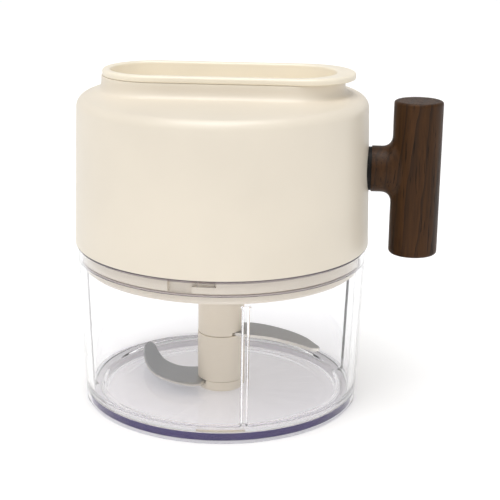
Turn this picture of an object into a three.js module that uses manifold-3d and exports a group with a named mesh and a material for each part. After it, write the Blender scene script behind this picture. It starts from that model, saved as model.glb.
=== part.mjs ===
// Crank food chopper: a clear bowl, a cream head with its gear train, a wooden T handle and two sickle blades.
// Millimetres, +Z up. The origin is on the bowl's axis, on the flat underside of its floor.
// The crank's axis runs along +X, and the blades turn about Z.
import * as THREE from 'three';
import { mergeVertices } from 'three/addons/utils/BufferGeometryUtils.js';
import Module from 'manifold-3d';

const wasm = await Module();
wasm.setup();

// Driving dimensions of the whole chopper; the sizes of its pieces follow from them
const bowlRimRadius = 62.2;
const bowlBaseRadius = 59.7;
const bowlHeight = 69.7;
const crankRise = 32.9;
const shoulderRise = 30.3;
const neckRise = 7.4;
const fitGap = 0.3;
const closeGap = 0.15;
const overrun = 1;

// Smoothness of round shapes, as counts of sides
const largeSides = 44;
const middleSides = 28;
const smallSides = 16;
const screwSides = 8;
const cornerSteps = 3;
const arcStep = 36;

// Angles
const fullTurn = 2 * Math.PI;
const quarterTurn = Math.PI / 2;
const quarterDegrees = 90;
const degree = Math.PI / 180;

// Bowl
const bowlWall = 3;
const bowlRimWall = 1.6;
const bowlFloor = 1.6;
const bowlEdge = 0.5;
const bowlHeel = 1.2;
const bowlFillet = 2;
const ledgeDrop = 6.5;
const ledgeHeight = bowlHeight - ledgeDrop;
const footSkirt = 2.2;
const footGrooveWidth = 4.7;
const footGrooveOuter = bowlBaseRadius - footSkirt;
const footGrooveInner = footGrooveOuter - footGrooveWidth;
const footGrooveDepth = 4.5;
const floorRingInset = 7.6;
const floorRingRadius = footGrooveInner - floorRingInset;
const floorRingStep = 0.4;
const ribCount = 4;
const ribWidth = 3.4;
const ribDepth = 1.9;
const ribAngle = -74.5;
const lugCount = 4;
const lugAngle = -90.3;
const lugSpan = 7;
const lugHeight = 2;
const lugDrop = 2.4;
const lugBottom = bowlHeight - lugDrop;
const lugStop = 0.6;

// Centre pin that the blades' foot turns on
const pinRadius = 1.95;
const pinTop = 9;
const pinBossRadius = 8;
const pinBossTop = 2.3;
const pinSocketFloor = 0.9;

// Head: a moulded shell that stands on the bowl's rim
const rimOverhang = 0.8;
const seamGap = 0.4;
const headRadius = bowlRimRadius + rimOverhang;
const seamHeight = bowlHeight + seamGap;
const crankHeight = seamHeight + crankRise;
const shoulderHeight = crankHeight + shoulderRise;
const neckTop = shoulderHeight + neckRise;
const shellWall = 2.2;
const shellEdge = 0.4;
const headDraft = 1.55;
const shoulderReach = 4.7;
const shoulderDrop = 4.8;
const topCrown = 1.2;
const neckInset = 11.7;
const neckHalfLength = headRadius - neckInset;
const neckHalfWidth = 22.4;
const neckFillet = 2.6;
const neckFilletRise = 4.3;
const neckWall = 2;
const postWeb = 2;

// Inner cover with its bayonet wall
const plugReach = 3.2;
const coverFlange = 1.9;
const coverPlateBottom = ledgeHeight - plugReach;
const coverPlate = 2;
const coverTop = seamHeight + coverFlange;
const bayonetDepth = 2.1;
const bayonetWall = 1.6;
const bayonetFloor = bowlRimRadius - bowlRimWall - bayonetDepth;
const lugInner = bayonetFloor + fitGap;
const coverInner = bayonetFloor - bayonetWall;
const coverPlugLip = 0.2;
const coverPlugTip = coverInner + coverPlugLip;
const coverPlugDrop = 0.5;
const entrySpan = 10.1;
const entryLead = 11.2;
const shaftTubeRadius = 8;
const shaftTubeHeight = 9.8;
const shaftTubeTop = coverPlateBottom + shaftTubeHeight;

// Seal that lies on the bowl's ledge
const sealWidth = 1.1;
const sealHeight = 0.9;

// Screws
const coverScrewInset = 4.5;
const coverScrewCircle = coverInner - coverScrewInset;
const coverScrewAngle = 45;
const coverScrewCount = 4;
const coverScrewShank = 1.6;
const coverScrewHead = 3;
const coverScrewHeadHeight = 2.2;
const coverScrewLength = 12;
const wellRadius = 4.6;
const wellHeight = 6.4;
const wellTop = coverPlateBottom + wellHeight;
const wellFloor = 2;
const screwPostRadius = 3.8;
const frameScrewShank = 1.2;
const frameScrewHead = 2.6;
const frameScrewHeadHeight = 1.7;
const frameScrewLength = 6;
const frameBossRadius = 3.2;
const frameBossHeight = 6;
const frameBossTop = coverPlateBottom + frameBossHeight;

// Gears: a crown gear on the crank drives a small pinion on the blade shaft
const gearModule = 1.4;
const pinionTeeth = 10;
const crownTeeth = 40;
const pressureAngle = 25 * degree;
const pinionAddendum = 1.1;
const pinionDedendum = 1.4;
const crownAddendum = 1;
const crownDedendum = 1.4;
const crownInner = 26.4;
const crownOuter = 30.6;
const crownRim = 3.6;
const toothRoot = 0.4;
const crownWeb = 2.4;
const crownHub = 8;
const crownHubEnd = 20;
const meshBacklash = 0.5;
const pinionPitch = gearModule * pinionTeeth / 2;
const pinionBase = pinionPitch * Math.cos(pressureAngle);
const crownHoleCount = 6;
const crownHoleRadius = 5.2;
const pinionHubRadius = 5;
const pinionLift = 1.4;
const pinionLength = 7.8;
const pinionBottom = shaftTubeTop + pinionLift;
const pinionTop = pinionBottom + pinionLength;
const gearScrewHead = 5.2;
const gearScrewHeadHeight = 2.2;
const gearScrewShank = 1.4;
const gearScrewLength = 7;

// Shafts and bushes
const bladeShaftRadius = 3;
const hexFlats = 5.6;
const crankShaftRadius = 4;
const crankShaftStart = 9.3;
const shaftFlat = 0.8;
const bushWall = 1.5;
const bushFlange = 0.9;
const clipThickness = 0.8;
const clipGroove = 0.7;
const clipReach = 3;
const clipMouthAngle = 70;
const bladeFlangeRadius = 6;
const crankFlangeRadius = 7.5;
const crankBushOuter = crankShaftRadius + closeGap + bushWall;
const bladeBushOuter = bladeShaftRadius + closeGap + bushWall;
const crankBossRadius = 8.3;
const crankBossLength = 8.1;
const crankClipSetback = 1.9;
const crankWasher = 0.8;
const collarDepth = 1.6;
const collarSeat = headRadius - collarDepth;
const crankBossStart = collarSeat - crankBossLength;
const crankClipPlace = crankBossStart - crankClipSetback;

// Crank handle: a turned bar across a short stem
const stemGap = 0.5;
const stemStart = headRadius + stemGap;
const stemRadius = 9.7;
const stemChamfer = 0.6;
const stemLength = 18.4;
const barAxis = stemStart + stemLength;
const barRadius = 10.25;
const barAbove = 28.5;
const barBelow = 36.2;
const barRounding = 1.2;
const barFillet = 3.8;
const socketDepth = 21;
const collarRadius = 9;
const collarThickness = 1.65;

// Gear frame
const frameBottom = frameBossTop + fitGap;
const framePlate = 2.5;
const frameLeft = -22;
const frameRight = 35.5;
const frameHalfWidth = 16;
const frameCorner = 5;
const crankPostStart = 21.5;
const crankPostThickness = 7;
const crankPostHead = 9.5;
const armLift = 1.2;
const armBottom = pinionTop + armLift;
const armHeight = 6.8;
const armRadius = 6.8;
const armHalfWidth = 5;
const armPostThickness = 6;
const armKneeShare = 1.5;
const frameScrewInset = 4;
const frameScrewPlaces = [frameLeft + frameScrewInset, frameRight - frameScrewInset].flatMap((x) => [
  [x, frameScrewInset - frameHalfWidth],
  [x, frameHalfWidth - frameScrewInset],
]);
const bladeClipPlace = armBottom + armHeight + fitGap;
const bladeShaftEnd = 3;
const bladeShaftTop = armBottom + armHeight + bladeShaftEnd;

// Blade column and blades
const columnRadius = 9.8;
const upperColumnRadius = 9.55;
const columnGap = 1.4;
const columnTop = coverPlateBottom - columnGap;
const upperJoint = 28.2;
const lowerJoint = 7.3;
const shaftSetback = 9.8;
const bladeShaftBottom = upperJoint + shaftSetback;
const footBottom = 3.2;
const footRounding = 1.8;
const spigotRadius = 5.4;
const spigotHeight = 6.2;
const spigotFlat = 4.2;
const lowerSpigotBottom = 4.7;
const columnEdge = 0.8;
const seatMouth = 112;
const bladeThickness = 1.4;
const bladeMargin = 10.2;
const bladeReach = bowlRimRadius - bladeMargin;
const bladeHubRadius = 8.3;
const bladeBevel = 2.2;
const bladeEdge = 0.3;
const bladeRise = 1.5;
const lowerBladeAngle = 180;
const upperBladeAngle = 0;
const edgeSteps = 12;

// Shares of the sizes that each outline follows
const shoulderShares = [0, 1 / 4, 1 / 2, 3 / 4, 1];
const innerShoulderShares = [1, 1 / 2, 0];
const filletShares = [0, 1 / 2, 1];
const flankShares = [0, 0.5, 1];
const stemFlareShares = [0, 0.35, 0.65, 1];
const footShares = [0, 1 / 3, 2 / 3, 1];
const tipShares = [0.5, 0.85];
const bevelShare = 0.45;
const cornerShare = 0.3;
const screwFaceShares = [0.7, 0.45];
const pinTipShares = [0.7, 0.15];
const lowerBladeShares = {
  outer: [[0.106, 0.131], [0.316, 0.397], [0.798, -0.135], [0.754, -0.558]],
  inner: [[0.106, -0.131], [0.466, -0.156], [0.525, -0.218], [0.715, -0.662]],
};
const upperBladeShares = {
  outer: [[0.106, 0.131], [0.278, 0.332], [0.783, -0.206], [0.825, -0.423]],
  inner: [[0.106, -0.131], [0.289, -0.15], [0.551, -0.281], [0.765, -0.508]],
};

// Top lid
const lidThickness = 2.8;
const lidTab = 4.2;
const lidOverhang = 0.1;
const lidLip = 2.8;
const lidWall = 1.5;
const lidRounding = 1.1;
const lidDepth = 4.2;
const lidFloorHeight = neckTop - lidDepth;
const lidFloor = 1.4;

// Colours and finishes
const clear = new THREE.MeshStandardMaterial({
  color: 0xe9eaf2, roughness: 0.05, metalness: 0, transparent: true, opacity: 0.35,
});
const indigo = new THREE.MeshStandardMaterial({ color: 0x584e78, roughness: 0.55, metalness: 0 });
const cream = new THREE.MeshStandardMaterial({ color: 0xebe2cf, roughness: 0.35, metalness: 0 });
const beige = new THREE.MeshStandardMaterial({ color: 0xd7cbba, roughness: 0.45, metalness: 0 });
const steel = new THREE.MeshStandardMaterial({ color: 0x91959a, roughness: 0.3, metalness: 1 });
const mauve = new THREE.MeshStandardMaterial({ color: 0xa0918c, roughness: 0.6, metalness: 0 });
const black = new THREE.MeshStandardMaterial({ color: 0x1c1a19, roughness: 0.5, metalness: 0 });
const nylon = new THREE.MeshStandardMaterial({ color: 0xe8e6df, roughness: 0.5, metalness: 0 });
const walnut = new THREE.MeshStandardMaterial({ color: 0x46291a, roughness: 0.5, metalness: 0 });

// Turns a closed three.js geometry into a solid with its faces pointing out
function toSolid(geometry) {
  const bare = geometry.clone();
  bare.deleteAttribute('normal');
  bare.deleteAttribute('uv');
  const merged = mergeVertices(bare);
  const places = Float32Array.from(merged.getAttribute('position').array);
  const index = merged.index.array;
  const corners = [];
  let volume = 0;
  for (let i = 0; i < index.length; i += 3) {
    const [a, b, c] = [index[i], index[i + 1], index[i + 2]];
    if (a === b || b === c || c === a) continue;
    corners.push([a, b, c]);
    const [p, q, r] = [a, b, c].map((k) => new THREE.Vector3().fromArray(places, k * 3));
    volume += p.dot(q.cross(r));
  }
  const outward = volume > 0 ? corners : corners.map(([a, b, c]) => [a, c, b]);
  const triVerts = Uint32Array.from(outward.flat());
  return new wasm.Manifold(new wasm.Mesh({ numProp: 3, vertProperties: places, triVerts }));
}

function toGeometry(solid) {
  const mesh = solid.getMesh();
  const geometry = new THREE.BufferGeometry();
  geometry.setAttribute('position', new THREE.BufferAttribute(Float32Array.from(mesh.vertProperties), 3));
  geometry.setIndex(new THREE.BufferAttribute(Uint32Array.from(mesh.triVerts), 1));
  geometry.computeVertexNormals();
  return geometry;
}

function piece(parent, name, solid, material) {
  const mesh = new THREE.Mesh(toGeometry(solid), material);
  mesh.name = name;
  parent.add(mesh);
  return mesh;
}

function join(first, ...others) {
  return others.reduce((sum, next) => sum.add(next), first);
}

function cut(first, ...others) {
  return others.reduce((rest, next) => rest.subtract(next), first);
}

// A solid of revolution about Z from a closed outline of [radius, height] points
function revolve(outline, sides) {
  const points = outline.map(([radius, height]) => new THREE.Vector2(radius, height));
  const closed = outline[0][0] === 0 && outline.at(-1)[0] === 0;
  if (!closed) points.push(points[0].clone());
  return toSolid(new THREE.LatheGeometry(points, sides).rotateX(quarterTurn));
}

function cylinder(radius, bottom, top, sides) {
  return revolve([[0, bottom], [radius, bottom], [radius, top], [0, top]], sides);
}

function tube(inner, outer, bottom, top, sides) {
  return revolve([[inner, bottom], [outer, bottom], [outer, top], [inner, top]], sides);
}

function box(low, high) {
  const size = high.map((value, i) => value - low[i]);
  const middle = high.map((value, i) => (value + low[i]) / 2);
  return toSolid(new THREE.BoxGeometry(...size).translate(...middle));
}

function prism(shape, bottom, top, curveSegments = smallSides) {
  const geometry = new THREE.ExtrudeGeometry(shape, { depth: top - bottom, bevelEnabled: false, curveSegments });
  return toSolid(geometry.translate(0, 0, bottom));
}

// A block between two radii and two angles in degrees, from one height to another
function sector(inner, outer, from, to, bottom, top) {
  const shape = new THREE.Shape();
  shape.absarc(0, 0, outer, from * degree, to * degree, false);
  shape.absarc(0, 0, inner, to * degree, from * degree, true);
  shape.closePath();
  return prism(shape, bottom, top, Math.ceil((to - from) / arcStep));
}

function turned(solid, degrees) {
  return solid.rotate([0, 0, degrees]);
}

// Lays a solid that was made along Z along X instead
function alongX(solid) {
  return solid.rotate([0, quarterDegrees, 0]);
}

function copiesAround(count, firstAngle, make) {
  return Array.from({ length: count }, (_, i) => turned(make(), firstAngle + i * 360 / count));
}

// Joins rings of points into one skin: 'loop' closes last to first, 'caps' fills both ends
function loft(rings, ending) {
  const count = rings[0].length;
  const places = rings.flat();
  const index = [];
  const spans = ending === 'loop' ? rings.length : rings.length - 1;
  for (let k = 0; k < spans; k += 1) {
    const next = (k + 1) % rings.length;
    for (let i = 0; i < count; i += 1) {
      const j = (i + 1) % count;
      const [a, b, c, d] = [k * count + i, k * count + j, next * count + j, next * count + i];
      index.push(a, b, c, a, c, d);
    }
  }
  if (ending === 'caps') {
    const ends = [rings[0], rings.at(-1)];
    ends.forEach((ring, side) => {
      const middle = ring.reduce((sum, p) => sum.add(p), new THREE.Vector3()).divideScalar(count);
      places.push(middle);
      const start = side * (rings.length - 1) * count;
      for (let i = 0; i < count; i += 1) {
        const j = (i + 1) % count;
        const pair = side ? [start + i, start + j] : [start + j, start + i];
        index.push(places.length - 1, ...pair);
      }
    });
  }
  const geometry = new THREE.BufferGeometry().setFromPoints(places);
  geometry.setIndex(index);
  return toSolid(geometry);
}

function circleRing(radius, height) {
  return Array.from({ length: largeSides }, (_, i) => {
    const angle = i * fullTurn / largeSides;
    return new THREE.Vector3(radius * Math.cos(angle), radius * Math.sin(angle), height);
  });
}

// A long round-ended ring, with its points spread evenly along each quarter of the outline.
// offset grows it on all sides, and tab stretches its +X end only.
function longRing(offset, height, tab = 0) {
  const radius = neckHalfWidth + offset;
  const straight = neckHalfLength - neckHalfWidth;
  const arc = radius * quarterTurn;
  const quarter = largeSides / 4;
  const quarterPoint = (share) => {
    const along = share * (arc + straight);
    const angle = Math.min(along, arc) / radius;
    const slid = Math.max(along - arc, 0);
    return [straight + radius * Math.cos(angle) - slid, radius * Math.sin(angle)];
  };
  return Array.from({ length: largeSides }, (_, i) => {
    const step = i % quarter;
    const side = Math.floor(i / quarter);
    const [x, y] = quarterPoint(side % 2 ? 1 - step / quarter : step / quarter);
    const signX = side === 0 || side === 3 ? 1 : -1;
    const signY = side < 2 ? 1 : -1;
    const stretch = signX > 0 ? tab * Math.min(1, x / straight) : 0;
    return new THREE.Vector3(signX * x + stretch, signY * y, height);
  });
}

// A screw with its head's face at the bottom and its tip at the top
function screw(faceRadius, headHeight, shankRadius, length) {
  const tip = shankRadius;
  const outline = [
    [0, 0],
    [faceRadius * screwFaceShares[0], 0],
    [faceRadius, headHeight * screwFaceShares[1]],
    [faceRadius, headHeight],
    [shankRadius, headHeight],
    [shankRadius, headHeight + length - tip],
    [0, headHeight + length],
  ];
  return revolve(outline, screwSides);
}

const outerWallAt = (height) => bowlBaseRadius + (bowlRimRadius - bowlBaseRadius) * height / bowlHeight;
const innerWallAt = (height) => outerWallAt(height) - bowlWall;
const rimInnerAt = (height) => outerWallAt(height) - bowlRimWall;
const footLedgeTop = footGrooveDepth + bowlFloor;
const coverBottom = coverPlateBottom - coverPlugDrop;
const coverPlateTop = coverPlateBottom + coverPlate;
const ridgeRadius = rimInnerAt(ledgeHeight) - fitGap;
const ridgeBottom = ledgeHeight + closeGap + sealHeight + closeGap;

// Thin-walled bowl with a stepped rim, a raised ring over the foot groove, stirring ribs and bayonet lugs
function makeBowl() {
  const step = footGrooveInner - bowlFloor;
  const outerFloor = bowlFloor + floorRingStep;
  const wallFoot = footLedgeTop + bowlFillet;
  const heelCorner = bowlHeel * cornerShare;
  const shell = revolve([
    [0, 0],
    [footGrooveInner, 0],
    [footGrooveInner, footGrooveDepth],
    [footGrooveOuter, footGrooveDepth],
    [footGrooveOuter, 0],
    [bowlBaseRadius - bowlHeel, 0],
    [bowlBaseRadius - heelCorner, heelCorner],
    [outerWallAt(bowlHeel), bowlHeel],
    [outerWallAt(bowlHeight - bowlEdge), bowlHeight - bowlEdge],
    [bowlRimRadius - bowlEdge, bowlHeight],
    [rimInnerAt(bowlHeight), bowlHeight],
    [rimInnerAt(ledgeHeight), ledgeHeight],
    [innerWallAt(ledgeHeight), ledgeHeight],
    [innerWallAt(wallFoot), wallFoot],
    [innerWallAt(wallFoot) - bowlFillet, footLedgeTop],
    [step + bowlEdge, footLedgeTop],
    [step, footLedgeTop - bowlEdge],
    [step, outerFloor],
    [floorRingRadius + floorRingStep, outerFloor],
    [floorRingRadius, bowlFloor],
    [0, bowlFloor],
  ], largeSides);
  const boss = cylinder(pinBossRadius, bowlFloor / 2, pinBossTop, middleSides);
  const socket = cylinder(pinRadius + closeGap, pinSocketFloor, pinBossTop + overrun, smallSides);
  const ribs = copiesAround(ribCount, ribAngle, makeRib);
  const lugTop = lugBottom + lugHeight;
  const makeLug = () => sector(
    lugInner, rimInnerAt(lugTop) + bowlEdge, -lugSpan / 2, lugSpan / 2, lugBottom, lugTop,
  );
  return cut(join(shell, boss, ...ribs, ...copiesAround(lugCount, lugAngle, makeLug)), socket);
}

// An upright rib that grows out of the bowl's wall and ends under the cover's plug
function makeRib() {
  const bottom = footLedgeTop - bowlEdge;
  const top = coverBottom - bowlEdge;
  const shape = new THREE.Shape();
  shape.moveTo(innerWallAt(bottom) - ribDepth, bottom);
  shape.lineTo(innerWallAt(bottom) + bowlEdge, bottom);
  shape.lineTo(innerWallAt(top) + bowlEdge, top);
  shape.lineTo(innerWallAt(top), top);
  shape.lineTo(innerWallAt(top) - ribDepth, top - ribDepth);
  shape.closePath();
  return prism(shape, -ribWidth / 2, ribWidth / 2).rotate([quarterDegrees, 0, 0]);
}

function makeFootRing() {
  const inner = footGrooveInner + fitGap;
  const outer = footGrooveOuter - fitGap;
  const top = footGrooveDepth - fitGap;
  return revolve([
    [inner, 0],
    [outer, 0],
    [outer, top],
    [inner, top],
  ], largeSides);
}

function makePivotPin() {
  const bottom = pinSocketFloor + closeGap;
  return revolve([
    [0, bottom],
    [pinRadius, bottom],
    [pinRadius, pinTop - pinRadius / 2],
    [pinRadius * pinTipShares[0], pinTop - pinRadius * pinTipShares[1]],
    [0, pinTop],
  ], screwSides);
}

function makeSealRing() {
  const bottom = ledgeHeight + closeGap;
  const outer = rimInnerAt(ledgeHeight) - closeGap;
  return tube(outer - sealWidth, outer, bottom, bottom + sealHeight, largeSides);
}

// The head's underside: a plate with a plug wall that fits the bowl and L-shaped bayonet slots
function makeInnerCover() {
  const bore = bladeShaftRadius + closeGap + bushWall + closeGap;
  const plugTop = coverPlateBottom + coverPlate / 2;
  const plug = innerWallAt(plugTop) - fitGap;
  const flange = headRadius - shellWall - fitGap;
  const flangeBottom = seamHeight + closeGap;
  const body = revolve([
    [0, coverPlateBottom],
    [coverInner, coverPlateBottom],
    [coverInner, coverBottom],
    [coverPlugTip, coverBottom],
    [plug, plugTop],
    [plug, ridgeBottom],
    [ridgeRadius, ridgeBottom],
    [ridgeRadius, flangeBottom],
    [flange, flangeBottom],
    [flange, coverTop],
    [coverInner, coverTop],
    [coverInner, coverPlateTop + coverPlate],
    [coverInner - coverPlate, coverPlateTop],
    [0, coverPlateTop],
  ], largeSides);
  const shaftTube = cylinder(shaftTubeRadius, coverPlateTop - closeGap, shaftTubeTop, smallSides);
  const shaftBore = cylinder(bore, coverPlateBottom - overrun, shaftTubeTop + overrun, smallSides);
  const makeWell = () => cylinder(wellRadius, coverPlateBottom, wellTop, middleSides / 2)
    .translate([coverScrewCircle, 0, 0]);
  const makeFrameBoss = ([x, y]) => cylinder(frameBossRadius, coverPlateTop - closeGap, frameBossTop, screwSides)
    .translate([x, y, 0]);
  const makeWellBore = () => join(
    cylinder(coverScrewHead + fitGap, coverPlateBottom - overrun, wellTop - wellFloor, screwSides),
    cylinder(coverScrewShank + fitGap, coverPlateBottom, wellTop + overrun, screwSides),
  ).translate([coverScrewCircle, 0, 0]);
  const makeFrameBore = ([x, y]) => cylinder(
    frameScrewShank + closeGap, frameBossTop - frameScrewLength, frameBossTop + overrun, screwSides,
  ).translate([x, y, coverPlate]);
  const solid = join(
    body,
    shaftTube,
    ...copiesAround(coverScrewCount, coverScrewAngle, makeWell),
    ...frameScrewPlaces.map(makeFrameBoss),
  );
  return cut(
    solid,
    shaftBore,
    ...copiesAround(coverScrewCount, coverScrewAngle, makeWellBore),
    ...frameScrewPlaces.map(makeFrameBore),
    ...copiesAround(lugCount, lugAngle, makeBayonetSlot),
  );
}

// The way in for one lug and the pocket that it turns into, cut in the cover's ridge
function makeBayonetSlot() {
  const outer = ridgeRadius + overrun;
  const stop = lugSpan / 2 + lugStop;
  const entry = sector(
    bayonetFloor, outer, -entryLead - entrySpan / 2, -entryLead + entrySpan / 2, ridgeBottom - overrun, seamHeight,
  );
  const pocket = sector(bayonetFloor, outer, -entryLead, stop, lugBottom - closeGap, seamHeight);
  return join(entry, pocket);
}

// Moulded shell that runs from a round wall through an elliptic shoulder into a long round-ended neck
function makeHousing() {
  const shoulderRadius = headRadius - headDraft - shoulderReach;
  const shoulderStart = shoulderHeight - shoulderDrop;
  const shoulderRing = (share, wall) => {
    const angle = share * quarterTurn;
    const reach = (shoulderReach - wall) * Math.cos(angle);
    const rise = (shoulderDrop - wall) * Math.sin(angle);
    return circleRing(shoulderRadius + reach, shoulderStart + rise);
  };
  const filletRing = (share) => {
    const angle = share * quarterTurn;
    const offset = neckFillet * (1 - Math.sin(angle));
    const height = shoulderHeight + topCrown + neckFilletRise * (1 - Math.cos(angle));
    return longRing(offset, height);
  };
  const ceiling = shoulderHeight + topCrown - shellWall;
  const outside = [
    circleRing(headRadius - shellEdge, seamHeight),
    circleRing(headRadius, seamHeight + shellEdge),
    ...shoulderShares.map((share) => shoulderRing(share, 0)),
    ...filletShares.map(filletRing),
    longRing(0, neckTop - shellEdge),
    longRing(-shellEdge, neckTop),
  ];
  const inside = [
    longRing(-neckWall, neckTop),
    longRing(-neckWall, ceiling),
    ...innerShoulderShares.map((share) => shoulderRing(share, shellWall)),
    circleRing(headRadius - shellWall, seamHeight),
  ];
  const shell = loft([...outside, ...inside], 'loop');
  const postBottom = wellTop + fitGap;
  const wallInside = headRadius - shellWall;
  const makePost = () => join(
    cylinder(screwPostRadius, postBottom, ceiling, screwSides).translate([coverScrewCircle, 0, 0]),
    box(
      [coverScrewCircle, -postWeb / 2, coverTop + fitGap],
      [wallInside + fitGap, postWeb / 2, shoulderStart],
    ),
  );
  const makePilot = () => cylinder(
    coverScrewShank + closeGap, postBottom - overrun, postBottom + coverScrewLength, screwSides,
  ).translate([coverScrewCircle, 0, 0]);
  const boss = alongX(cylinder(crankBossRadius, crankBossStart, collarSeat, smallSides));
  const bore = alongX(cylinder(crankBushOuter + closeGap, crankBossStart - overrun, headRadius, smallSides));
  const seat = alongX(cylinder(collarRadius + fitGap, collarSeat, headRadius + overrun, middleSides));
  return cut(
    join(shell, boss.translate([0, 0, crankHeight]), ...copiesAround(coverScrewCount, coverScrewAngle, makePost)),
    bore.translate([0, 0, crankHeight]),
    seat.translate([0, 0, crankHeight]),
    ...copiesAround(coverScrewCount, coverScrewAngle, makePilot),
  );
}

// Tray-shaped lid over the neck, with a finger tab at the crank's end
function makeTopLid() {
  const trayOuter = -neckWall - fitGap;
  const trayInner = trayOuter - lidWall;
  const bottom = lidFloorHeight - lidFloor;
  const flangeBottom = neckTop + fitGap;
  const top = neckTop + lidThickness;
  const round = lidRounding;
  const corner = round * cornerShare;
  return loft([
    longRing(trayOuter, bottom),
    longRing(trayOuter, flangeBottom),
    longRing(lidOverhang - round / 2, flangeBottom, lidTab),
    longRing(lidOverhang, flangeBottom + round / 2, lidTab),
    longRing(lidOverhang, top - round, lidTab),
    longRing(lidOverhang - corner, top - corner, lidTab),
    longRing(lidOverhang - round, top, lidTab),
    longRing(-lidLip, top),
    longRing(trayInner, top - round),
    longRing(trayInner, lidFloorHeight + round),
    longRing(trayInner - round, lidFloorHeight),
  ], 'caps');
}

function makeCoverScrew() {
  return screw(coverScrewHead, coverScrewHeadHeight, coverScrewShank, coverScrewLength);
}

function makeFrameScrew() {
  return screw(frameScrewHead, frameScrewHeadHeight, frameScrewShank, frameScrewLength);
}

function roundedPlate(left, right, halfWidth, corner) {
  const shape = new THREE.Shape();
  shape.absarc(right - corner, halfWidth - corner, corner, 0, quarterTurn, false);
  shape.absarc(left + corner, halfWidth - corner, corner, quarterTurn, 2 * quarterTurn, false);
  shape.absarc(left + corner, corner - halfWidth, corner, 2 * quarterTurn, 3 * quarterTurn, false);
  shape.absarc(right - corner, corner - halfWidth, corner, 3 * quarterTurn, fullTurn, false);
  shape.closePath();
  return shape;
}

// One-piece frame: a base plate, a tapered post for the crank shaft and an arm over the pinion
function makeGearFrame() {
  const top = frameBottom + framePlate;
  const plateShape = roundedPlate(frameLeft, frameRight, frameHalfWidth, frameCorner);
  const plate = prism(plateShape, frameBottom, top, cornerSteps);
  const outline = new THREE.Shape();
  outline.moveTo(-frameHalfWidth + frameCorner, 0);
  outline.lineTo(-crankPostHead, crankHeight - top);
  outline.absarc(0, crankHeight - top, crankPostHead, 2 * quarterTurn, 0, true);
  outline.lineTo(frameHalfWidth - frameCorner, 0);
  outline.closePath();
  const post = prism(outline, 0, crankPostThickness, cornerSteps * 2)
    .rotate([quarterDegrees, 0, quarterDegrees])
    .translate([crankPostStart, 0, top - fitGap]);
  const armTop = armBottom + armHeight;
  const armLeft = frameLeft + frameBossRadius - armPostThickness / 2;
  const riser = new THREE.Shape();
  riser.moveTo(armLeft, top - fitGap);
  riser.lineTo(armLeft + armPostThickness, top - fitGap);
  riser.lineTo(armLeft + armPostThickness, armBottom - armPostThickness / 2);
  riser.lineTo(armLeft + armPostThickness * armKneeShare, armBottom);
  riser.lineTo(0, armBottom);
  riser.lineTo(0, armTop);
  riser.lineTo(armLeft + armPostThickness / 2, armTop);
  riser.lineTo(armLeft, armTop - armPostThickness / 2);
  riser.closePath();
  const arm = prism(riser, -armHalfWidth, armHalfWidth).rotate([quarterDegrees, 0, 0]);
  const armEye = cylinder(armRadius, armBottom, armTop, smallSides);
  const solid = join(plate, post, arm, armEye);
  const postEnd = crankPostStart + crankPostThickness;
  const crankBore = alongX(
    cylinder(crankBushOuter + closeGap, crankPostStart - overrun, postEnd + overrun, smallSides),
  ).translate([0, 0, crankHeight]);
  const shaftBore = cylinder(bladeBushOuter + closeGap, armBottom - overrun, armTop + overrun, smallSides);
  const tubeHole = cylinder(shaftTubeRadius + fitGap, frameBottom - overrun, top + overrun, middleSides);
  const screwHoles = frameScrewPlaces.map(([x, y]) => cylinder(
    frameScrewShank + closeGap, frameBottom - overrun, top + overrun, screwSides,
  ).translate([x, y, 0]));
  return cut(solid, crankBore, shaftBore, tubeHole, ...screwHoles);
}

// Flanged bush along Z with its flange below; a negative length puts the flange on top
function makeBush({ shaftRadius, flangeRadius, flange = bushFlange, start, length }) {
  const inner = shaftRadius + closeGap;
  const way = Math.sign(length);
  return revolve([
    [inner, start],
    [flangeRadius, start],
    [flangeRadius, start + way * flange],
    [inner + bushWall, start + way * flange],
    [inner + bushWall, start + length],
    [inner, start + length],
  ], smallSides);
}

// C-shaped retaining clip whose mouth opens towards +X
function makeClip(shaftRadius, bottom) {
  const inner = shaftRadius - clipGroove + closeGap;
  return sector(
    inner, shaftRadius + clipReach, clipMouthAngle / 2, 360 - clipMouthAngle / 2, bottom, bottom + clipThickness,
  );
}

function makeGroove(shaftRadius, bottom) {
  return tube(
    shaftRadius - clipGroove, shaftRadius + overrun, bottom - closeGap, bottom + clipThickness + closeGap, smallSides,
  );
}

const involute = (angle) => Math.tan(angle) - angle;

// Half of a pinion tooth's angle at a radius, from its thickness on the pitch circle
function pinionHalfAngle(radius) {
  const pitchThickness = (Math.PI * gearModule - meshBacklash) / 2;
  const base = pitchThickness / (2 * pinionPitch) + involute(pressureAngle);
  return base - involute(Math.acos(Math.min(1, pinionBase / radius)));
}

// Involute pinion with a gap between two teeth on +X
function makePinion() {
  const root = pinionPitch - pinionDedendum;
  const tip = pinionPitch + pinionAddendum;
  const points = [];
  for (let tooth = 0; tooth < pinionTeeth; tooth += 1) {
    const middle = (tooth + 0.5) * fullTurn / pinionTeeth;
    const flank = flankShares.map((share) => pinionBase + share * (tip - pinionBase));
    const rise = [root, ...flank];
    const left = rise.map((radius) => [radius, middle - pinionHalfAngle(Math.max(radius, pinionBase))]);
    const right = rise.map((radius) => [radius, middle + pinionHalfAngle(Math.max(radius, pinionBase))]).reverse();
    points.push(...left, ...right);
  }
  const shape = new THREE.Shape(
    points.map(([radius, angle]) => new THREE.Vector2(radius * Math.cos(angle), radius * Math.sin(angle))),
  );
  const teethBottom = crankHeight - crownOuter;
  const teethTop = crankHeight - crownInner;
  const teeth = prism(shape, teethBottom, teethTop);
  const hub = cylinder(pinionHubRadius, pinionBottom, pinionTop, smallSides);
  return cut(join(teeth, hub), makeFlatBore(bladeShaftRadius, pinionBottom - overrun, pinionTop + overrun));
}

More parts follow.
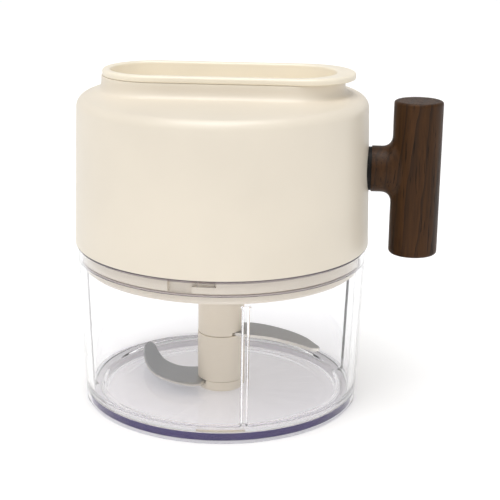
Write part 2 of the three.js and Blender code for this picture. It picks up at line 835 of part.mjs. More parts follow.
// A shaft hole with a flat on its +X side
function makeFlatBore(shaftRadius, bottom, top) {
  const round = cylinder(shaftRadius + closeGap, bottom, top, smallSides);
  const flat = shaftRadius - shaftFlat + closeGap;
  const reach = shaftRadius * 2;
  return cut(round, box([flat, -reach, bottom - overrun], [reach, reach, top + overrun]));
}

// Half of a crown tooth's thickness at a radius and level: the rack that fits the pinion's section there
function crownHalfThickness(radius, level) {
  const rolling = radius * pinionTeeth / crownTeeth;
  const angle = Math.acos(Math.min(1, pinionBase / rolling));
  const pitch = fullTurn * rolling / pinionTeeth;
  const space = pitch - 2 * rolling * pinionHalfAngle(rolling);
  return (space - meshBacklash) / 2 + (level - rolling) * Math.tan(angle);
}

function makeCrownTooth() {
  const tipLevel = pinionPitch - crownAddendum;
  const footLevel = pinionPitch + crownDedendum + toothRoot;
  const corner = (radius, level, side) => {
    const angle = side * Math.atan(crownHalfThickness(radius, level) / radius);
    return new THREE.Vector3(radius * Math.cos(angle), radius * Math.sin(angle), level);
  };
  return loft([footLevel, tipLevel].map((level) => [
    corner(crownInner, level, -1),
    corner(crownOuter, level, -1),
    corner(crownOuter, level, 1),
    corner(crownInner, level, 1),
  ]), 'caps');
}

// Crown gear with its teeth pointing to -Z here, and one tooth centred on +X
function makeCrownGear() {
  const rootLevel = pinionPitch + crownDedendum;
  const rim = tube(crownInner - toothRoot, crownOuter + toothRoot, rootLevel, rootLevel + crownRim, crownTeeth);
  const webStart = rootLevel + (crownRim - crownWeb) / 2;
  const webRadius = (crownInner + crownOuter) / 2;
  const web = cylinder(webRadius, webStart, webStart + crownWeb, crownTeeth);
  const hub = cylinder(crownHub, crankShaftStart - fitGap, crownHubEnd, middleSides);
  const holeCircle = (crownHub + crownInner) / 2;
  const makeHole = () => cylinder(crownHoleRadius, webStart - overrun, webStart + crownWeb + overrun, smallSides)
    .translate([holeCircle, 0, 0]);
  return cut(
    join(rim, web, hub, ...copiesAround(crownTeeth, 0, makeCrownTooth)),
    ...copiesAround(crownHoleCount, 0, makeHole),
    makeFlatBore(crankShaftRadius, crankShaftStart - overrun, crownHubEnd + overrun),
  );
}

// Crank shaft with a flat for the gear, a clip groove, and a tapped hole for the gear's screw
function makeCrankShaft() {
  const end = stemStart + socketDepth - closeGap;
  const shaft = cylinder(crankShaftRadius, crankShaftStart, end, smallSides);
  const reach = crankShaftRadius * 2;
  const flat = box(
    [crankShaftRadius - shaftFlat, -reach, crankShaftStart - overrun],
    [reach, reach, crownHubEnd + closeGap],
  );
  const tapped = cylinder(
    gearScrewShank + closeGap, crankShaftStart - overrun, crankShaftStart + gearScrewLength, screwSides,
  );
  return cut(shaft, flat, makeGroove(crankShaftRadius, crankClipPlace), tapped);
}

// Turned T handle: a stem that flares into an upright bar
function makeCrankHandle() {
  const face = barAxis - barRadius;
  const corner = barRounding * cornerShare;
  const bar = revolve([
    [0, -barBelow],
    [barRadius - barRounding, -barBelow],
    [barRadius - corner, -barBelow + corner],
    [barRadius, -barBelow + barRounding],
    [barRadius, barAbove - barRounding],
    [barRadius - corner, barAbove - corner],
    [barRadius - barRounding, barAbove],
    [0, barAbove],
  ], middleSides).rotate([0, -quarterDegrees, 0]).translate([0, 0, barAxis]);
  const stemRing = (height, across, place) => Array.from({ length: middleSides }, (_, i) => {
    const angle = i * fullTurn / middleSides;
    return new THREE.Vector3(height * Math.cos(angle), across * Math.sin(angle), place);
  });
  const flare = stemFlareShares.map((share) => {
    const angle = share * quarterTurn;
    const height = stemRadius + barFillet * (1 - Math.cos(angle));
    return stemRing(height, stemRadius, face - barFillet * (1 - Math.sin(angle)));
  });
  const stem = loft([
    stemRing(stemRadius - stemChamfer, stemRadius - stemChamfer, stemStart),
    stemRing(stemRadius, stemRadius, stemStart + stemChamfer),
    ...flare,
    stemRing(stemRadius + barFillet, stemRadius, barAxis),
  ], 'caps');
  const socket = cylinder(crankShaftRadius + closeGap, stemStart - overrun, stemStart + socketDepth, smallSides);
  return cut(join(bar, stem), socket);
}

// Blade shaft: round above, with a flat for the pinion, and six-sided where it drives the column
function makeBladeShaft() {
  const round = cylinder(bladeShaftRadius, columnTop, bladeShaftTop, smallSides);
  const hex = hexPrism(hexFlats / 2, bladeShaftBottom, columnTop + overrun);
  const reach = bladeShaftRadius * 2;
  const flat = box(
    [bladeShaftRadius - shaftFlat, -reach, pinionBottom - closeGap],
    [reach, reach, pinionTop + closeGap],
  );
  return cut(join(round, hex), flat, makeGroove(bladeShaftRadius, bladeClipPlace));
}

function hexPrism(apothem, bottom, top) {
  const sides = 6;
  return cylinder(apothem / Math.cos(Math.PI / sides), bottom, top, sides);
}

// A round spigot with two flats, which keys the blades to the column
function makeSpigot(grow, bottom, top) {
  const round = cylinder(spigotRadius + grow, bottom, top, smallSides);
  const flat = spigotFlat + grow;
  const reach = spigotRadius * 2;
  return round.intersect(box([-reach, -flat, bottom - overrun], [reach, flat, top + overrun]));
}

// Room in a column piece for a blade's hub, open on one side for the arm
function makeBladeSeat(bottom, top, angle) {
  const ring = cylinder(bladeHubRadius + fitGap, bottom, top, middleSides);
  const mouth = sector(bladeHubRadius, columnRadius + overrun, -seatMouth / 2, seatMouth / 2, bottom, top);
  return turned(join(ring, mouth), angle);
}

function makeColumnUpper() {
  const bottom = upperJoint + closeGap;
  const body = revolve([
    [0, bottom],
    [upperColumnRadius, bottom],
    [upperColumnRadius, columnTop - columnEdge],
    [upperColumnRadius - columnEdge, columnTop],
    [0, columnTop],
  ], middleSides);
  const seatTop = upperJoint + closeGap + bladeThickness + closeGap;
  return cut(
    body,
    makeBladeSeat(bottom - overrun, seatTop, upperBladeAngle),
    makeSpigot(closeGap, bottom - overrun, upperJoint + spigotHeight + closeGap),
    hexPrism(hexFlats / 2 + closeGap, bladeShaftBottom - closeGap, columnTop + overrun),
  );
}

function makeColumnLower() {
  const body = join(
    cylinder(columnRadius, lowerJoint, upperJoint, middleSides),
    makeSpigot(0, upperJoint - overrun, upperJoint + spigotHeight),
    makeSpigot(0, lowerSpigotBottom, lowerJoint + overrun),
  );
  return cut(body, cylinder(pinRadius + closeGap, lowerSpigotBottom - overrun, pinTop + closeGap, screwSides));
}

// Rounded foot of the column, which turns on the bowl's pin
function makeColumnFoot() {
  const top = lowerJoint - closeGap;
  const floor = lowerSpigotBottom - closeGap;
  const roundPoint = (share) => [
    columnRadius - footRounding * (1 - Math.sin(share * quarterTurn)),
    footBottom + footRounding * (1 - Math.cos(share * quarterTurn)),
  ];
  const body = revolve([[0, footBottom], ...footShares.map(roundPoint), [columnRadius, top], [0, top]], middleSides);
  const seatBottom = lowerJoint - closeGap - bladeThickness - closeGap;
  return cut(
    body,
    makeBladeSeat(seatBottom, top + overrun, lowerBladeAngle),
    makeSpigot(closeGap, floor, top + overrun),
    cylinder(pinRadius + closeGap, footBottom - overrun, top, screwSides),
  );
}

// Sickle blade from its two edge curves, ground to a bevel on its outer edge, with a keyed hub
function makeBlade(edgeShares) {
  const curve = (shares) => new THREE.CubicBezierCurve(...shares.map(
    ([x, y]) => new THREE.Vector2(x * bladeReach, y * bladeReach),
  ));
  const outer = curve(edgeShares.outer).getPoints(edgeSteps);
  const inner = curve(edgeShares.inner).getPoints(edgeSteps);
  const halfTip = outer.at(-1).distanceTo(inner.at(-1)) / 2;
  const tipMiddle = outer.at(-1).clone().add(inner.at(-1)).divideScalar(2);
  const before = outer.at(-2).clone().add(inner.at(-2)).divideScalar(2);
  const ahead = tipMiddle.clone().sub(before).normalize();
  tipShares.forEach((share) => {
    const width = Math.sqrt(1 - share * share);
    const middle = tipMiddle.clone().addScaledVector(ahead, halfTip * share);
    const outward = outer[edgeSteps].clone().sub(tipMiddle).multiplyScalar(width);
    outer.push(middle.clone().add(outward));
    inner.push(middle.clone().sub(outward));
  });
  const riseAt = (point) => {
    const share = (point.length() - columnRadius) / (bladeReach - columnRadius);
    return bladeRise * Math.max(0, share);
  };
  const lift = (point, height) => new THREE.Vector3(point.x, point.y, height + riseAt(point));
  const sections = outer.map((out, k) => {
    const width = out.distanceTo(inner[k]);
    const bevel = Math.min(bladeBevel, width * bevelShare);
    const ground = out.clone().lerp(inner[k], bevel / width);
    return [
      lift(inner[k], 0),
      lift(out, 0),
      lift(out, bladeEdge),
      lift(ground, bladeThickness),
      lift(inner[k], bladeThickness),
    ];
  });
  const arm = loft(sections, 'caps');
  const hub = cylinder(bladeHubRadius, 0, bladeThickness, middleSides);
  return cut(join(arm, hub), makeSpigot(closeGap, -overrun, bladeThickness + overrun));
}

const group = new THREE.Group();

const bowlGroup = new THREE.Group();
piece(bowlGroup, 'bowl', makeBowl(), clear);
piece(bowlGroup, 'foot_ring', makeFootRing(), indigo);
piece(bowlGroup, 'pivot_pin', makePivotPin(), steel);
piece(bowlGroup, 'seal_ring', makeSealRing(), mauve);
group.add(bowlGroup);

const headGroup = new THREE.Group();
piece(headGroup, 'housing', makeHousing(), cream);
piece(headGroup, 'inner_cover', makeInnerCover(), cream);
piece(headGroup, 'gear_frame', makeGearFrame(), nylon);
piece(headGroup, 'top_lid', makeTopLid(), cream);
for (let i = 0; i < coverScrewCount; i += 1) {
  const angle = (coverScrewAngle + i * 360 / coverScrewCount) * degree;
  const mesh = piece(headGroup, `cover_screw_${i + 1}`, makeCoverScrew(), steel);
  const headTop = wellTop - wellFloor - closeGap;
  mesh.position.set(
    coverScrewCircle * Math.cos(angle), coverScrewCircle * Math.sin(angle), headTop - coverScrewHeadHeight,
  );
}
frameScrewPlaces.forEach(([x, y], i) => {
  const mesh = piece(headGroup, `frame_screw_${i + 1}`, makeFrameScrew(), steel);
  mesh.rotation.x = Math.PI;
  mesh.position.set(x, y, frameBottom + framePlate + closeGap + frameScrewHeadHeight);
});
const tubeBushStart = shaftTubeTop + closeGap + bushFlange;
const armBushStart = armBottom - closeGap - bushFlange;
piece(headGroup, 'lower_bush', makeBush({
  shaftRadius: bladeShaftRadius,
  flangeRadius: bladeFlangeRadius,
  start: tubeBushStart,
  length: coverPlateBottom + closeGap - tubeBushStart,
}), nylon);
piece(headGroup, 'upper_bush', makeBush({
  shaftRadius: bladeShaftRadius,
  flangeRadius: bladeFlangeRadius,
  start: armBushStart,
  length: armHeight + bushFlange,
}), nylon);
group.add(headGroup);

// Everything on the crank's axis is in a group at the shaft's height, with its Z along the shaft
const crankGroup = new THREE.Group();
crankGroup.position.z = crankHeight;
crankGroup.rotation.y = quarterTurn;
const collarTop = collarSeat + closeGap + collarThickness;
const postBushStart = crankPostStart - closeGap - bushFlange;
const washerStart = crankClipPlace + clipThickness + closeGap;
piece(crankGroup, 'crank_collar', makeBush({
  shaftRadius: crankShaftRadius,
  flangeRadius: collarRadius,
  flange: collarThickness,
  start: collarTop,
  length: crankBossStart - collarTop,
}), black);
piece(crankGroup, 'inner_bush', makeBush({
  shaftRadius: crankShaftRadius,
  flangeRadius: crankFlangeRadius,
  start: postBushStart,
  length: crankPostThickness + bushFlange,
}), nylon);
piece(crankGroup, 'crank_handle', makeCrankHandle(), walnut);
piece(crankGroup, 'crank_shaft', makeCrankShaft(), steel);
const washer = tube(
  crankShaftRadius + closeGap, crankFlangeRadius, washerStart, washerStart + crankWasher, smallSides,
);
piece(crankGroup, 'crank_washer', washer, steel);
piece(crankGroup, 'crank_clip', makeClip(crankShaftRadius, crankClipPlace), steel);
piece(crankGroup, 'crown_gear', makeCrownGear(), nylon);
const gearScrew = screw(gearScrewHead, gearScrewHeadHeight, gearScrewShank, gearScrewLength);
const gearScrewMesh = piece(crankGroup, 'gear_screw', gearScrew, steel);
gearScrewMesh.position.z = crankShaftStart - fitGap - closeGap - gearScrewHeadHeight;
group.add(crankGroup);

const bladeGroup = new THREE.Group();
piece(bladeGroup, 'blade_shaft', makeBladeShaft(), steel);
piece(bladeGroup, 'pinion', makePinion(), nylon);
piece(bladeGroup, 'shaft_clip', makeClip(bladeShaftRadius, bladeClipPlace), steel);
piece(bladeGroup, 'column_upper', makeColumnUpper(), beige);
piece(bladeGroup, 'column_lower', makeColumnLower(), beige);
piece(bladeGroup, 'column_foot', makeColumnFoot(), beige);
const upperBlade = piece(bladeGroup, 'upper_blade', makeBlade(upperBladeShares), steel);
upperBlade.position.z = upperJoint + closeGap;
upperBlade.rotation.z = upperBladeAngle * degree;
const lowerBlade = piece(bladeGroup, 'lower_blade', makeBlade(lowerBladeShares), steel);
lowerBlade.position.z = lowerJoint - closeGap - bladeThickness;
lowerBlade.rotation.z = lowerBladeAngle * degree;
group.add(bladeGroup);

export default group;
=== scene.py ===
# %% [markdown]
# # A hand-cranked food chopper
# A clear bowl stands under a cream head. A wooden T handle turns a crown gear in the head, and the gear
# turns a column with two sickle blades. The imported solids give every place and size, so this lesson
# makes the fine surfaces and the finishes around them, one piece at a time.

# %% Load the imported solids
import bisect
import math

import bmesh
import bpy
from mathutils import Matrix, Vector


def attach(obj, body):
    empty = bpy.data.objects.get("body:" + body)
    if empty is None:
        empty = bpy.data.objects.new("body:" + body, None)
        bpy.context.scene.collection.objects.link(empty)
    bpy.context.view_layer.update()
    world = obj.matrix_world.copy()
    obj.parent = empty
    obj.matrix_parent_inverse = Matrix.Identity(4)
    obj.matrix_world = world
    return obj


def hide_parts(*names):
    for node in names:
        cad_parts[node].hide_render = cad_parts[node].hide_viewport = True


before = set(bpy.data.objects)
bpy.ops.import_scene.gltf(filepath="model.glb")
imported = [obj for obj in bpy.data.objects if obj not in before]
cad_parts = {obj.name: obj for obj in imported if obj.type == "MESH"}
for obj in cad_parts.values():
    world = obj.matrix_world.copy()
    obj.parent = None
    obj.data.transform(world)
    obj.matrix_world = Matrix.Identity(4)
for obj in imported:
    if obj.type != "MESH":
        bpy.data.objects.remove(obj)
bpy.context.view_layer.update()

# %% [markdown]
# Blender works in metres, and the sizes of this chopper are easier to read in millimetres. Every shape
# below is written in millimetres and scaled once, where its mesh is made.

# %% Units and smoothness
MM = 0.001
FULL_TURN = 2 * math.pi
ROUND_SIDES = 192
SMALL_SIDES = 96
SCREW_SIDES = 48
CORNER_STEPS = 5
GUARD = 0.25
NEARLY_HALF = 0.48
CRISP = 38
FINE_CRISP = 30
BLADE_CRISP = 20
HANDLE_CRISP = 50


def placed(name, data):
    made = bpy.data.objects.new(name, data)
    bpy.context.collection.objects.link(made)
    return made


# %% [markdown]
# ## Camera
# A long lens from a little above the lid shows the bowl's floor as a flat oval. The camera is set by three
# turns: a small one to the side, one down to the chopper, and a roll of less than a degree. Light crosses
# many walls of clear plastic on its way, so it's followed through many bounces.

# %% Camera
CAMERA_PLACE = Vector((59.28, -547.71, 228.665))
CAMERA_SIDE = math.radians(6.243)
CAMERA_DOWN = math.radians(16.263)
CAMERA_ROLL = math.radians(0.336)
CAMERA_LENS = 95.152
CAMERA_SHIFT = (0.0593, -0.0148)
SENSOR_WIDTH = 36
FAR_CLIP = 20
LIGHT_BOUNCES = 24

level_turn = Matrix.Rotation(CAMERA_SIDE, 4, "Z")
down_turn = Matrix.Rotation(math.pi / 2 - CAMERA_DOWN, 4, "X")
roll_turn = Matrix.Rotation(CAMERA_ROLL, 4, "Z")
camera = placed("camera", bpy.data.cameras.new("camera"))
camera.matrix_world = Matrix.Translation(CAMERA_PLACE * MM) @ level_turn @ down_turn @ roll_turn
camera.data.lens = CAMERA_LENS
camera.data.sensor_width = SENSOR_WIDTH
camera.data.shift_x, camera.data.shift_y = CAMERA_SHIFT
camera.data.clip_end = FAR_CLIP
bpy.context.scene.camera = camera
bpy.context.scene.view_settings.view_transform = "Standard"
paths = bpy.context.scene.cycles
paths.max_bounces = paths.transmission_bounces = paths.transparent_max_bounces = LIGHT_BOUNCES

# %% [markdown]
# ## Shader and geometry maths as Python
# A node tree is easier to read as arithmetic. `Socket` wraps one output of a node, and an operator on it
# adds the Math node. `Tree.node` makes any other node, with its settings first and then its sockets. It
# serves materials and Geometry Nodes alike.

# %% Sockets with operators


def operator(operation, swapped=False):
    def apply(self, other):
        return self.maths(operation, *((other, self) if swapped else (self, other)))
    return apply


class Socket:
    def __init__(self, tree, link):
        self.tree = tree
        self.link = link

    def maths(self, operation, *values):
        return self.tree.node("ShaderNodeMath", {"operation": operation}, dict(enumerate(values)))

    __add__ = __radd__ = operator("ADD")
    __sub__ = operator("SUBTRACT")
    __rsub__ = operator("SUBTRACT", swapped=True)
    __mul__ = operator("MULTIPLY")
    __truediv__ = operator("DIVIDE")
    __rtruediv__ = operator("DIVIDE", swapped=True)
    __pow__ = operator("POWER")


class Tree:
    def __init__(self, nodes):
        self.nodes = nodes

    def feed(self, socket, value):
        if isinstance(value, Socket):
            self.nodes.links.new(value.link, socket)
        else:
            socket.default_value = value

    def node(self, kind, settings=None, sockets=None, output=0):
        made = self.nodes.nodes.new(kind)
        for name, value in (settings or {}).items():
            setattr(made, name, value)
        for key, value in (sockets or {}).items():
            self.feed(made.inputs[key], value)
        return Socket(self, made.outputs[output])

    def parts(self, vector, count=3):
        split = self.node("ShaderNodeSeparateXYZ", {}, {0: vector}).link.node
        return [Socket(self, split.outputs[i]) for i in range(count)]

    def between(self, value, low, high, start=0.0, end=1.0, kind="LINEAR"):
        """start where the value is below low, end where it's above high, and a slope between them."""
        sockets = {"Value": value, "From Min": low, "From Max": high, "To Min": start, "To Max": end}
        return self.node("ShaderNodeMapRange", {"interpolation_type": kind}, sockets)


# %% [markdown]
# A finish is one material: a Principled shader, its output, and the few textures that most finishes
# share. Object coordinates are in metres here, so a texture's scale is in features per metre.

# %% A material with its usual helpers


class Finish(Tree):
    def __init__(self, name, shader_values):
        self.material = bpy.data.materials.new(name)
        self.material.use_nodes = True
        super().__init__(self.material.node_tree)
        self.shader = self.nodes.nodes["Principled BSDF"]
        self.output = self.nodes.nodes["Material Output"]
        for key, value in shader_values.items():
            self.set(key, value)
        self.place = self.node("ShaderNodeTexCoord", output="Object")

    def set(self, name, value):
        self.feed(self.shader.inputs[name], value)

    def stretched(self, x, y, z):
        sockets = {"Vector": self.place, "Scale": (x, y, z)}
        return self.node("ShaderNodeMapping", {"vector_type": "TEXTURE"}, sockets)

    def noise(self, scale, detail=3.0, roughness=0.5, vector=None, distortion=0.0):
        sockets = {
            "Vector": vector or self.place, "Scale": scale, "Detail": detail,
            "Roughness": roughness, "Distortion": distortion,
        }
        return self.node("ShaderNodeTexNoise", {}, sockets)

    def mixed(self, share, first, second):
        sockets = {0: share, 6: first, 7: second}
        return self.node("ShaderNodeMix", {"data_type": "RGBA"}, sockets, 2)

    def height(self):
        return self.parts(self.place)[2]

    def bump(self, height, strength, distance):
        sockets = {"Height": height, "Strength": strength, "Distance": distance}
        self.set("Normal", self.node("ShaderNodeBump", {}, sockets))


def linear(red, green, blue):
    """The colour that Blender's shaders use for a colour given as 0 to 255 on a screen."""
    def channel(value):
        share = value / 255
        return share / 12.92 if share <= 0.04045 else ((share + 0.055) / 1.055) ** 2.4
    return tuple(channel(value) for value in (red, green, blue)) + (1.0,)


# %% [markdown]
# ## Finishes
# The head is a satin injection moulding. Up close such plastic has a very fine spark texture and broad,
# faint clouds in its gloss. Both are noise: the fine one is a bump, and the broad one darkens the colour
# by a few parts in a hundred and moves the roughness a little more. A rough clear coat adds a soft second
# sheen. The lowest edge of the head's shell carries a painted shadow: its colour turns dark there, for
# the shadow gap under it.

# %% Moulded plastics
CREAM = linear(230, 220, 203)
# The colour of the painted shadow on the shell's lowest edge, for the gap under the head.
SEAM_PAINTED_SHADOW = linear(84, 74, 78)
SEAM_SHADOW_BAND = (0.07047, 0.0705)
CLOUD_SCALE = 22
CLOUD_SHADE = 0.955
GLOSS_CHANGE = 0.12
SPARK_SCALE = 4200
SPARK_HEIGHT = 0.0004


def moulded(name, colour, roughness, grain=0.02, shine=0.5, painted_shadow_band=None):
    coat = {"Coat Weight": 0.5 * shine, "Coat Roughness": 0.35}
    finish = Finish(name, {"Roughness": roughness, "Specular IOR Level": shine, **coat})
    clouds = finish.noise(CLOUD_SCALE, 2.0)
    darker = tuple(value * CLOUD_SHADE for value in colour[:3]) + (1.0,)
    tone = finish.mixed(finish.between(clouds, 0.35, 0.65), darker, colour)
    # Painted shadow: the colour turns dark in the given band of heights.
    if painted_shadow_band:
        tone = finish.mixed(finish.between(finish.height(), *painted_shadow_band), SEAM_PAINTED_SHADOW, tone)
    finish.set("Base Color", tone)
    finish.set("Roughness", roughness + (clouds - 0.5) * GLOSS_CHANGE)
    finish.bump(finish.noise(SPARK_SCALE, 2.0), grain, SPARK_HEIGHT)
    return finish


cream = moulded("cream_plastic", CREAM, 0.42)
# The shell's lowest edge gets a painted shadow for the dark seam line under the head.
shell_cream = moulded("shell_plastic", CREAM, 0.42, painted_shadow_band=SEAM_SHADOW_BAND)
lid_cream = moulded("lid_plastic", linear(243, 233, 213), 0.4)
beige = moulded("beige_plastic", linear(236, 225, 205), 0.45)
nylon = moulded("natural_nylon", linear(226, 222, 212), 0.5, grain=0.04)
black = moulded("black_plastic", linear(14, 12, 11), 0.6, shine=0.15)
seal_grey = moulded("seal_rubber", linear(182, 169, 165), 0.6)

# %% [markdown]
# The foot ring is a pale soft ring whose outer face carries an indigo band. The distance from the ring's
# axis tells the two apart.

# %% Foot ring's rubber
BAND_EDGE = (0.0567, 0.0569)


def foot_rubber():
    finish = Finish("indigo_rubber", {"Roughness": 0.55, "Specular IOR Level": 0.2})
    x, y = finish.parts(finish.place, 2)
    radius = (x * x + y * y) ** 0.5
    clouds = finish.noise(90, 3.0)
    band = finish.mixed(clouds, linear(58, 48, 98), linear(72, 61, 112))
    outside = finish.between(radius, *BAND_EDGE)
    finish.set("Base Color", finish.mixed(outside, linear(226, 225, 229), band))
    finish.bump(finish.noise(3000, 2.0), 0.04, 0.0003)
    return finish


indigo = foot_rubber()

# %% [markdown]
# Clear plastic bends light as glass does. A path tracer can't find a lamp through bent glass quickly, so
# shadow rays, and rays that leave a matt surface, pass straight through instead: a Mix Shader switches to
# a Transparent shader for them. The blades and the floor inside are then lit as they are on the table.
#
# The index of refraction is lower than acrylic's 1.49, so the wall bends what stands behind it only a
# little. Two tints by height are painted shade: the floor is tinted grey for the shade under the head, and
# the rim's top is tinted dark for the shadow gap under the head's shell.

# %% Clear plastic
INDEX = 1.36
WALL_TINT = (0.988, 0.986, 0.996, 1.0)
# Painted shade: the bowl's lowest part is tinted grey for the shade under the head, seen through the
# floor.
FLOOR_PAINTED_SHADE = (0.9, 0.89, 0.91, 1.0)
# Painted shade: the rim's top is tinted dark for the shadow gap under the head's shell.
RIM_PAINTED_SHADE = (0.35, 0.31, 0.38, 1.0)
STRAIGHT_TINT = (0.965, 0.962, 0.97, 1.0)
FLOOR_FADE = (0.0022, 0.0026)
RIM_FADE = (0.0691, 0.0692)


def clear_plastic():
    finish = Finish("clear_plastic", {"Roughness": 0.0, "IOR": INDEX, "Transmission Weight": 1.0})
    # Painted shade at the rim's top, for the dark seam line between bowl and head.
    at_rim = finish.between(finish.height(), *RIM_FADE)
    in_wall = finish.between(finish.height(), *FLOOR_FADE)
    # Painted shade: below FLOOR_FADE the clear plastic is tinted grey.
    shaded_floor = finish.mixed(in_wall, FLOOR_PAINTED_SHADE, WALL_TINT)
    finish.set("Base Color", finish.mixed(at_rim, shaded_floor, RIM_PAINTED_SHADE))
    finish.bump(finish.noise(60, 2.0), 0.03, 0.0003)
    straight = finish.node("ShaderNodeBsdfTransparent", {}, {"Color": STRAIGHT_TINT})
    to_lamp = finish.node("ShaderNodeLightPath", output="Is Shadow Ray")
    from_matt = finish.node("ShaderNodeLightPath", output="Is Diffuse Ray")
    unseen = to_lamp.maths("MAXIMUM", to_lamp, from_matt)
    glass = Socket(finish, finish.shader.outputs["BSDF"])
    either = finish.node("ShaderNodeMixShader", {}, {0: unseen, 1: glass, 2: straight})
    finish.feed(finish.output.inputs["Surface"], either)
    return finish


clear = clear_plastic()

# %% [markdown]
# Dark walnut has four scales of detail. Growth rings lie round the tree's own axis, which passes beside
# the bar and leans a little, so they show as uneven streaks. Between them lie broad bands of lighter and
# darker wood, fine fibres along the grain, and short open pores that look nearly black.

# %% Walnut


def dark_walnut():
    finish = Finish("dark_walnut", {"Roughness": 0.5, "Specular IOR Level": 0.17})
    leaning = {
        "Vector": finish.place, "Location": (0.21, -0.02, 0.0), "Rotation": (0.05, 0.06, 0.0),
        "Scale": (1, 1, 7),
    }
    tree_axis = finish.node("ShaderNodeMapping", {"vector_type": "TEXTURE"}, leaning)
    ring_look = {"wave_type": "RINGS", "rings_direction": "Z", "wave_profile": "SAW"}
    ring_shape = {
        "Vector": tree_axis, "Scale": 62.0, "Distortion": 4.5, "Detail": 3.0, "Detail Scale": 1.6,
        "Detail Roughness": 0.6,
    }
    rings = finish.node("ShaderNodeTexWave", ring_look, ring_shape, 1)
    bands = finish.noise(120, 4.0, 0.6, finish.stretched(1, 1, 6), distortion=1.0)
    fibres = finish.noise(1000, 3.0, 0.6, finish.stretched(1, 1, 24))
    pores = finish.noise(1300, 2.0, 0.5, finish.stretched(1, 1, 14))
    pore = finish.between(pores, 0.6, 0.68)
    late_wood = finish.between(rings, 0.72, 1.0)
    tone = finish.between(bands, 0.3, 0.7) * 0.6 + finish.between(fibres, 0.3, 0.7) * 0.4
    wood = finish.mixed(tone, linear(40, 23, 9), linear(77, 48, 20))
    ringed = finish.mixed(late_wood * 0.75, wood, linear(33, 21, 13))
    finish.set("Base Color", finish.mixed(pore * 0.7, ringed, linear(22, 14, 9)))
    finish.set("Roughness", 0.4 + pore * 0.2 + fibres * 0.1)
    finish.bump(fibres * 0.5 - pore - late_wood * 0.3, 0.2, 0.0003)
    return finish


walnut = dark_walnut()

# %% [markdown]
# The blades are ground and satin finished, so they reflect the white room only dimly, in one soft sheet.
# The screws and shafts are turned, and shine more. Fine stretched noise gives both their brushed look.
# Faces that look sideways, such as a blade's bevel, are painted lighter: partly the ground steel's own
# finish, partly a painted highlight for the bright line that such an edge catches.

# %% Steels
BRUSH_SCALE = 1400


def steel(name, colour, roughness, stretch, edge=None):
    finish = Finish(name, {"Metallic": 1.0, "Roughness": roughness})
    brushed = finish.noise(BRUSH_SCALE, 3.0, 0.55, finish.stretched(*stretch))
    lighter = tuple(min(1.0, value * 1.12) for value in colour[:3]) + (1.0,)
    tone = finish.mixed(finish.between(brushed, 0.3, 0.7), colour, lighter)
    # Painted highlight, partly the ground steel's own finish: sideways faces take the lighter colour.
    if edge:
        facing = finish.parts(finish.node("ShaderNodeTexCoord", output="Normal"))[2]
        flat = finish.between(facing.maths("ABSOLUTE", facing), 0.35, 0.75)
        tone = finish.mixed(flat, edge, tone)
    finish.set("Base Color", tone)
    finish.set("Roughness", roughness + (brushed - 0.5) * 0.16)
    finish.bump(brushed, 0.08, 0.0002)
    return finish


# The blades' sideways faces get the lighter colour, partly ground finish and partly painted highlight.
blade_steel = steel("blade_steel", linear(165, 166, 167), 0.42, (14, 1, 1), edge=linear(222, 218, 210))
turned_steel = steel("turned_steel", linear(190, 191, 192), 0.3, (1, 1, 1))

# %% [markdown]
# ## Helpers for shapes
# Most pieces are turned shapes, so the main helper spins an outline of radius and height about Z. A
# corner of an outline may carry a rounding, which becomes a small arc: real mouldings have no sharp
# edges, and the arcs are what catches the light. A guard point just beyond each end of an arc keeps its
# smooth shading off the long straight wall beside it.

# %% Outlines and rings


def rounded(corners, closed=False):
    """Outline points from corners of (radius, height, rounding)."""
    outline = []
    count = len(corners)
    for i, (radius, height, *rest) in enumerate(corners):
        rounding = rest[0] if rest else 0
        here = Vector((radius, height))
        at_end = not closed and i in (0, count - 1)
        if not rounding or at_end:
            outline.append((radius, height))
            continue
        before = Vector(corners[i - 1][:2]) - here
        after = Vector(corners[(i + 1) % count][:2]) - here
        half = before.angle(after) / 2
        reach = min(rounding / math.tan(half), before.length * NEARLY_HALF, after.length * NEARLY_HALF)
        size = reach * math.tan(half)
        middle = here + (before.normalized() + after.normalized()).normalized() * size / math.sin(half)
        start = here + before.normalized() * reach - middle
        end = here + after.normalized() * reach - middle
        shares = [k / CORNER_STEPS for k in range(CORNER_STEPS + 1)]
        arc = [middle + start.slerp(end, share).normalized() * size for share in shares]
        arc.insert(0, here + before.normalized() * min(reach + GUARD, before.length / 2))
        arc.append(here + after.normalized() * min(reach + GUARD, after.length / 2))
        outline.extend((point.x, point.y) for point in arc)
    return outline


def even_angles(count):
    return [FULL_TURN * i / count for i in range(count)]


def spun(outline, angles):
    """Points and faces of an outline spun about Z. A point on the axis makes a pole."""
    points = []
    rings = []
    for radius, height in outline:
        start = len(points)
        if radius == 0:
            points.append((0, 0, height))
        else:
            points.extend((radius * math.cos(a), radius * math.sin(a), height) for a in angles)
        rings.append(range(start, len(points)))
    pairs = list(zip(rings, rings[1:]))
    if len(rings[0]) > 1 and len(rings[-1]) > 1:
        pairs.append((rings[-1], rings[0]))
    faces = []
    for lower, upper in pairs:
        for i in range(len(angles)):
            j = (i + 1) % len(angles)
            below = [lower[i % len(lower)], lower[j % len(lower)]]
            above = [upper[j % len(upper)], upper[i % len(upper)]]
            faces.append(tuple(dict.fromkeys(below + above)))
    return points, [face for face in faces if len(face) > 2]


def lofted(rings, loop=False):
    """Points and faces through rings of points. Both ends are capped, unless the rings make a loop."""
    count = len(rings[0])
    points = [point for ring in rings for point in ring]
    faces = []
    spans = len(rings) if loop else len(rings) - 1
    for k in range(spans):
        low = k * count
        high = (k + 1) % len(rings) * count
        for i in range(count):
            j = (i + 1) % count
            faces.append((low + i, low + j, high + j, high + i))
    if not loop:
        faces.append(tuple(range(count))[::-1])
        faces.append(tuple(range(len(points) - count, len(points))))
    return points, faces


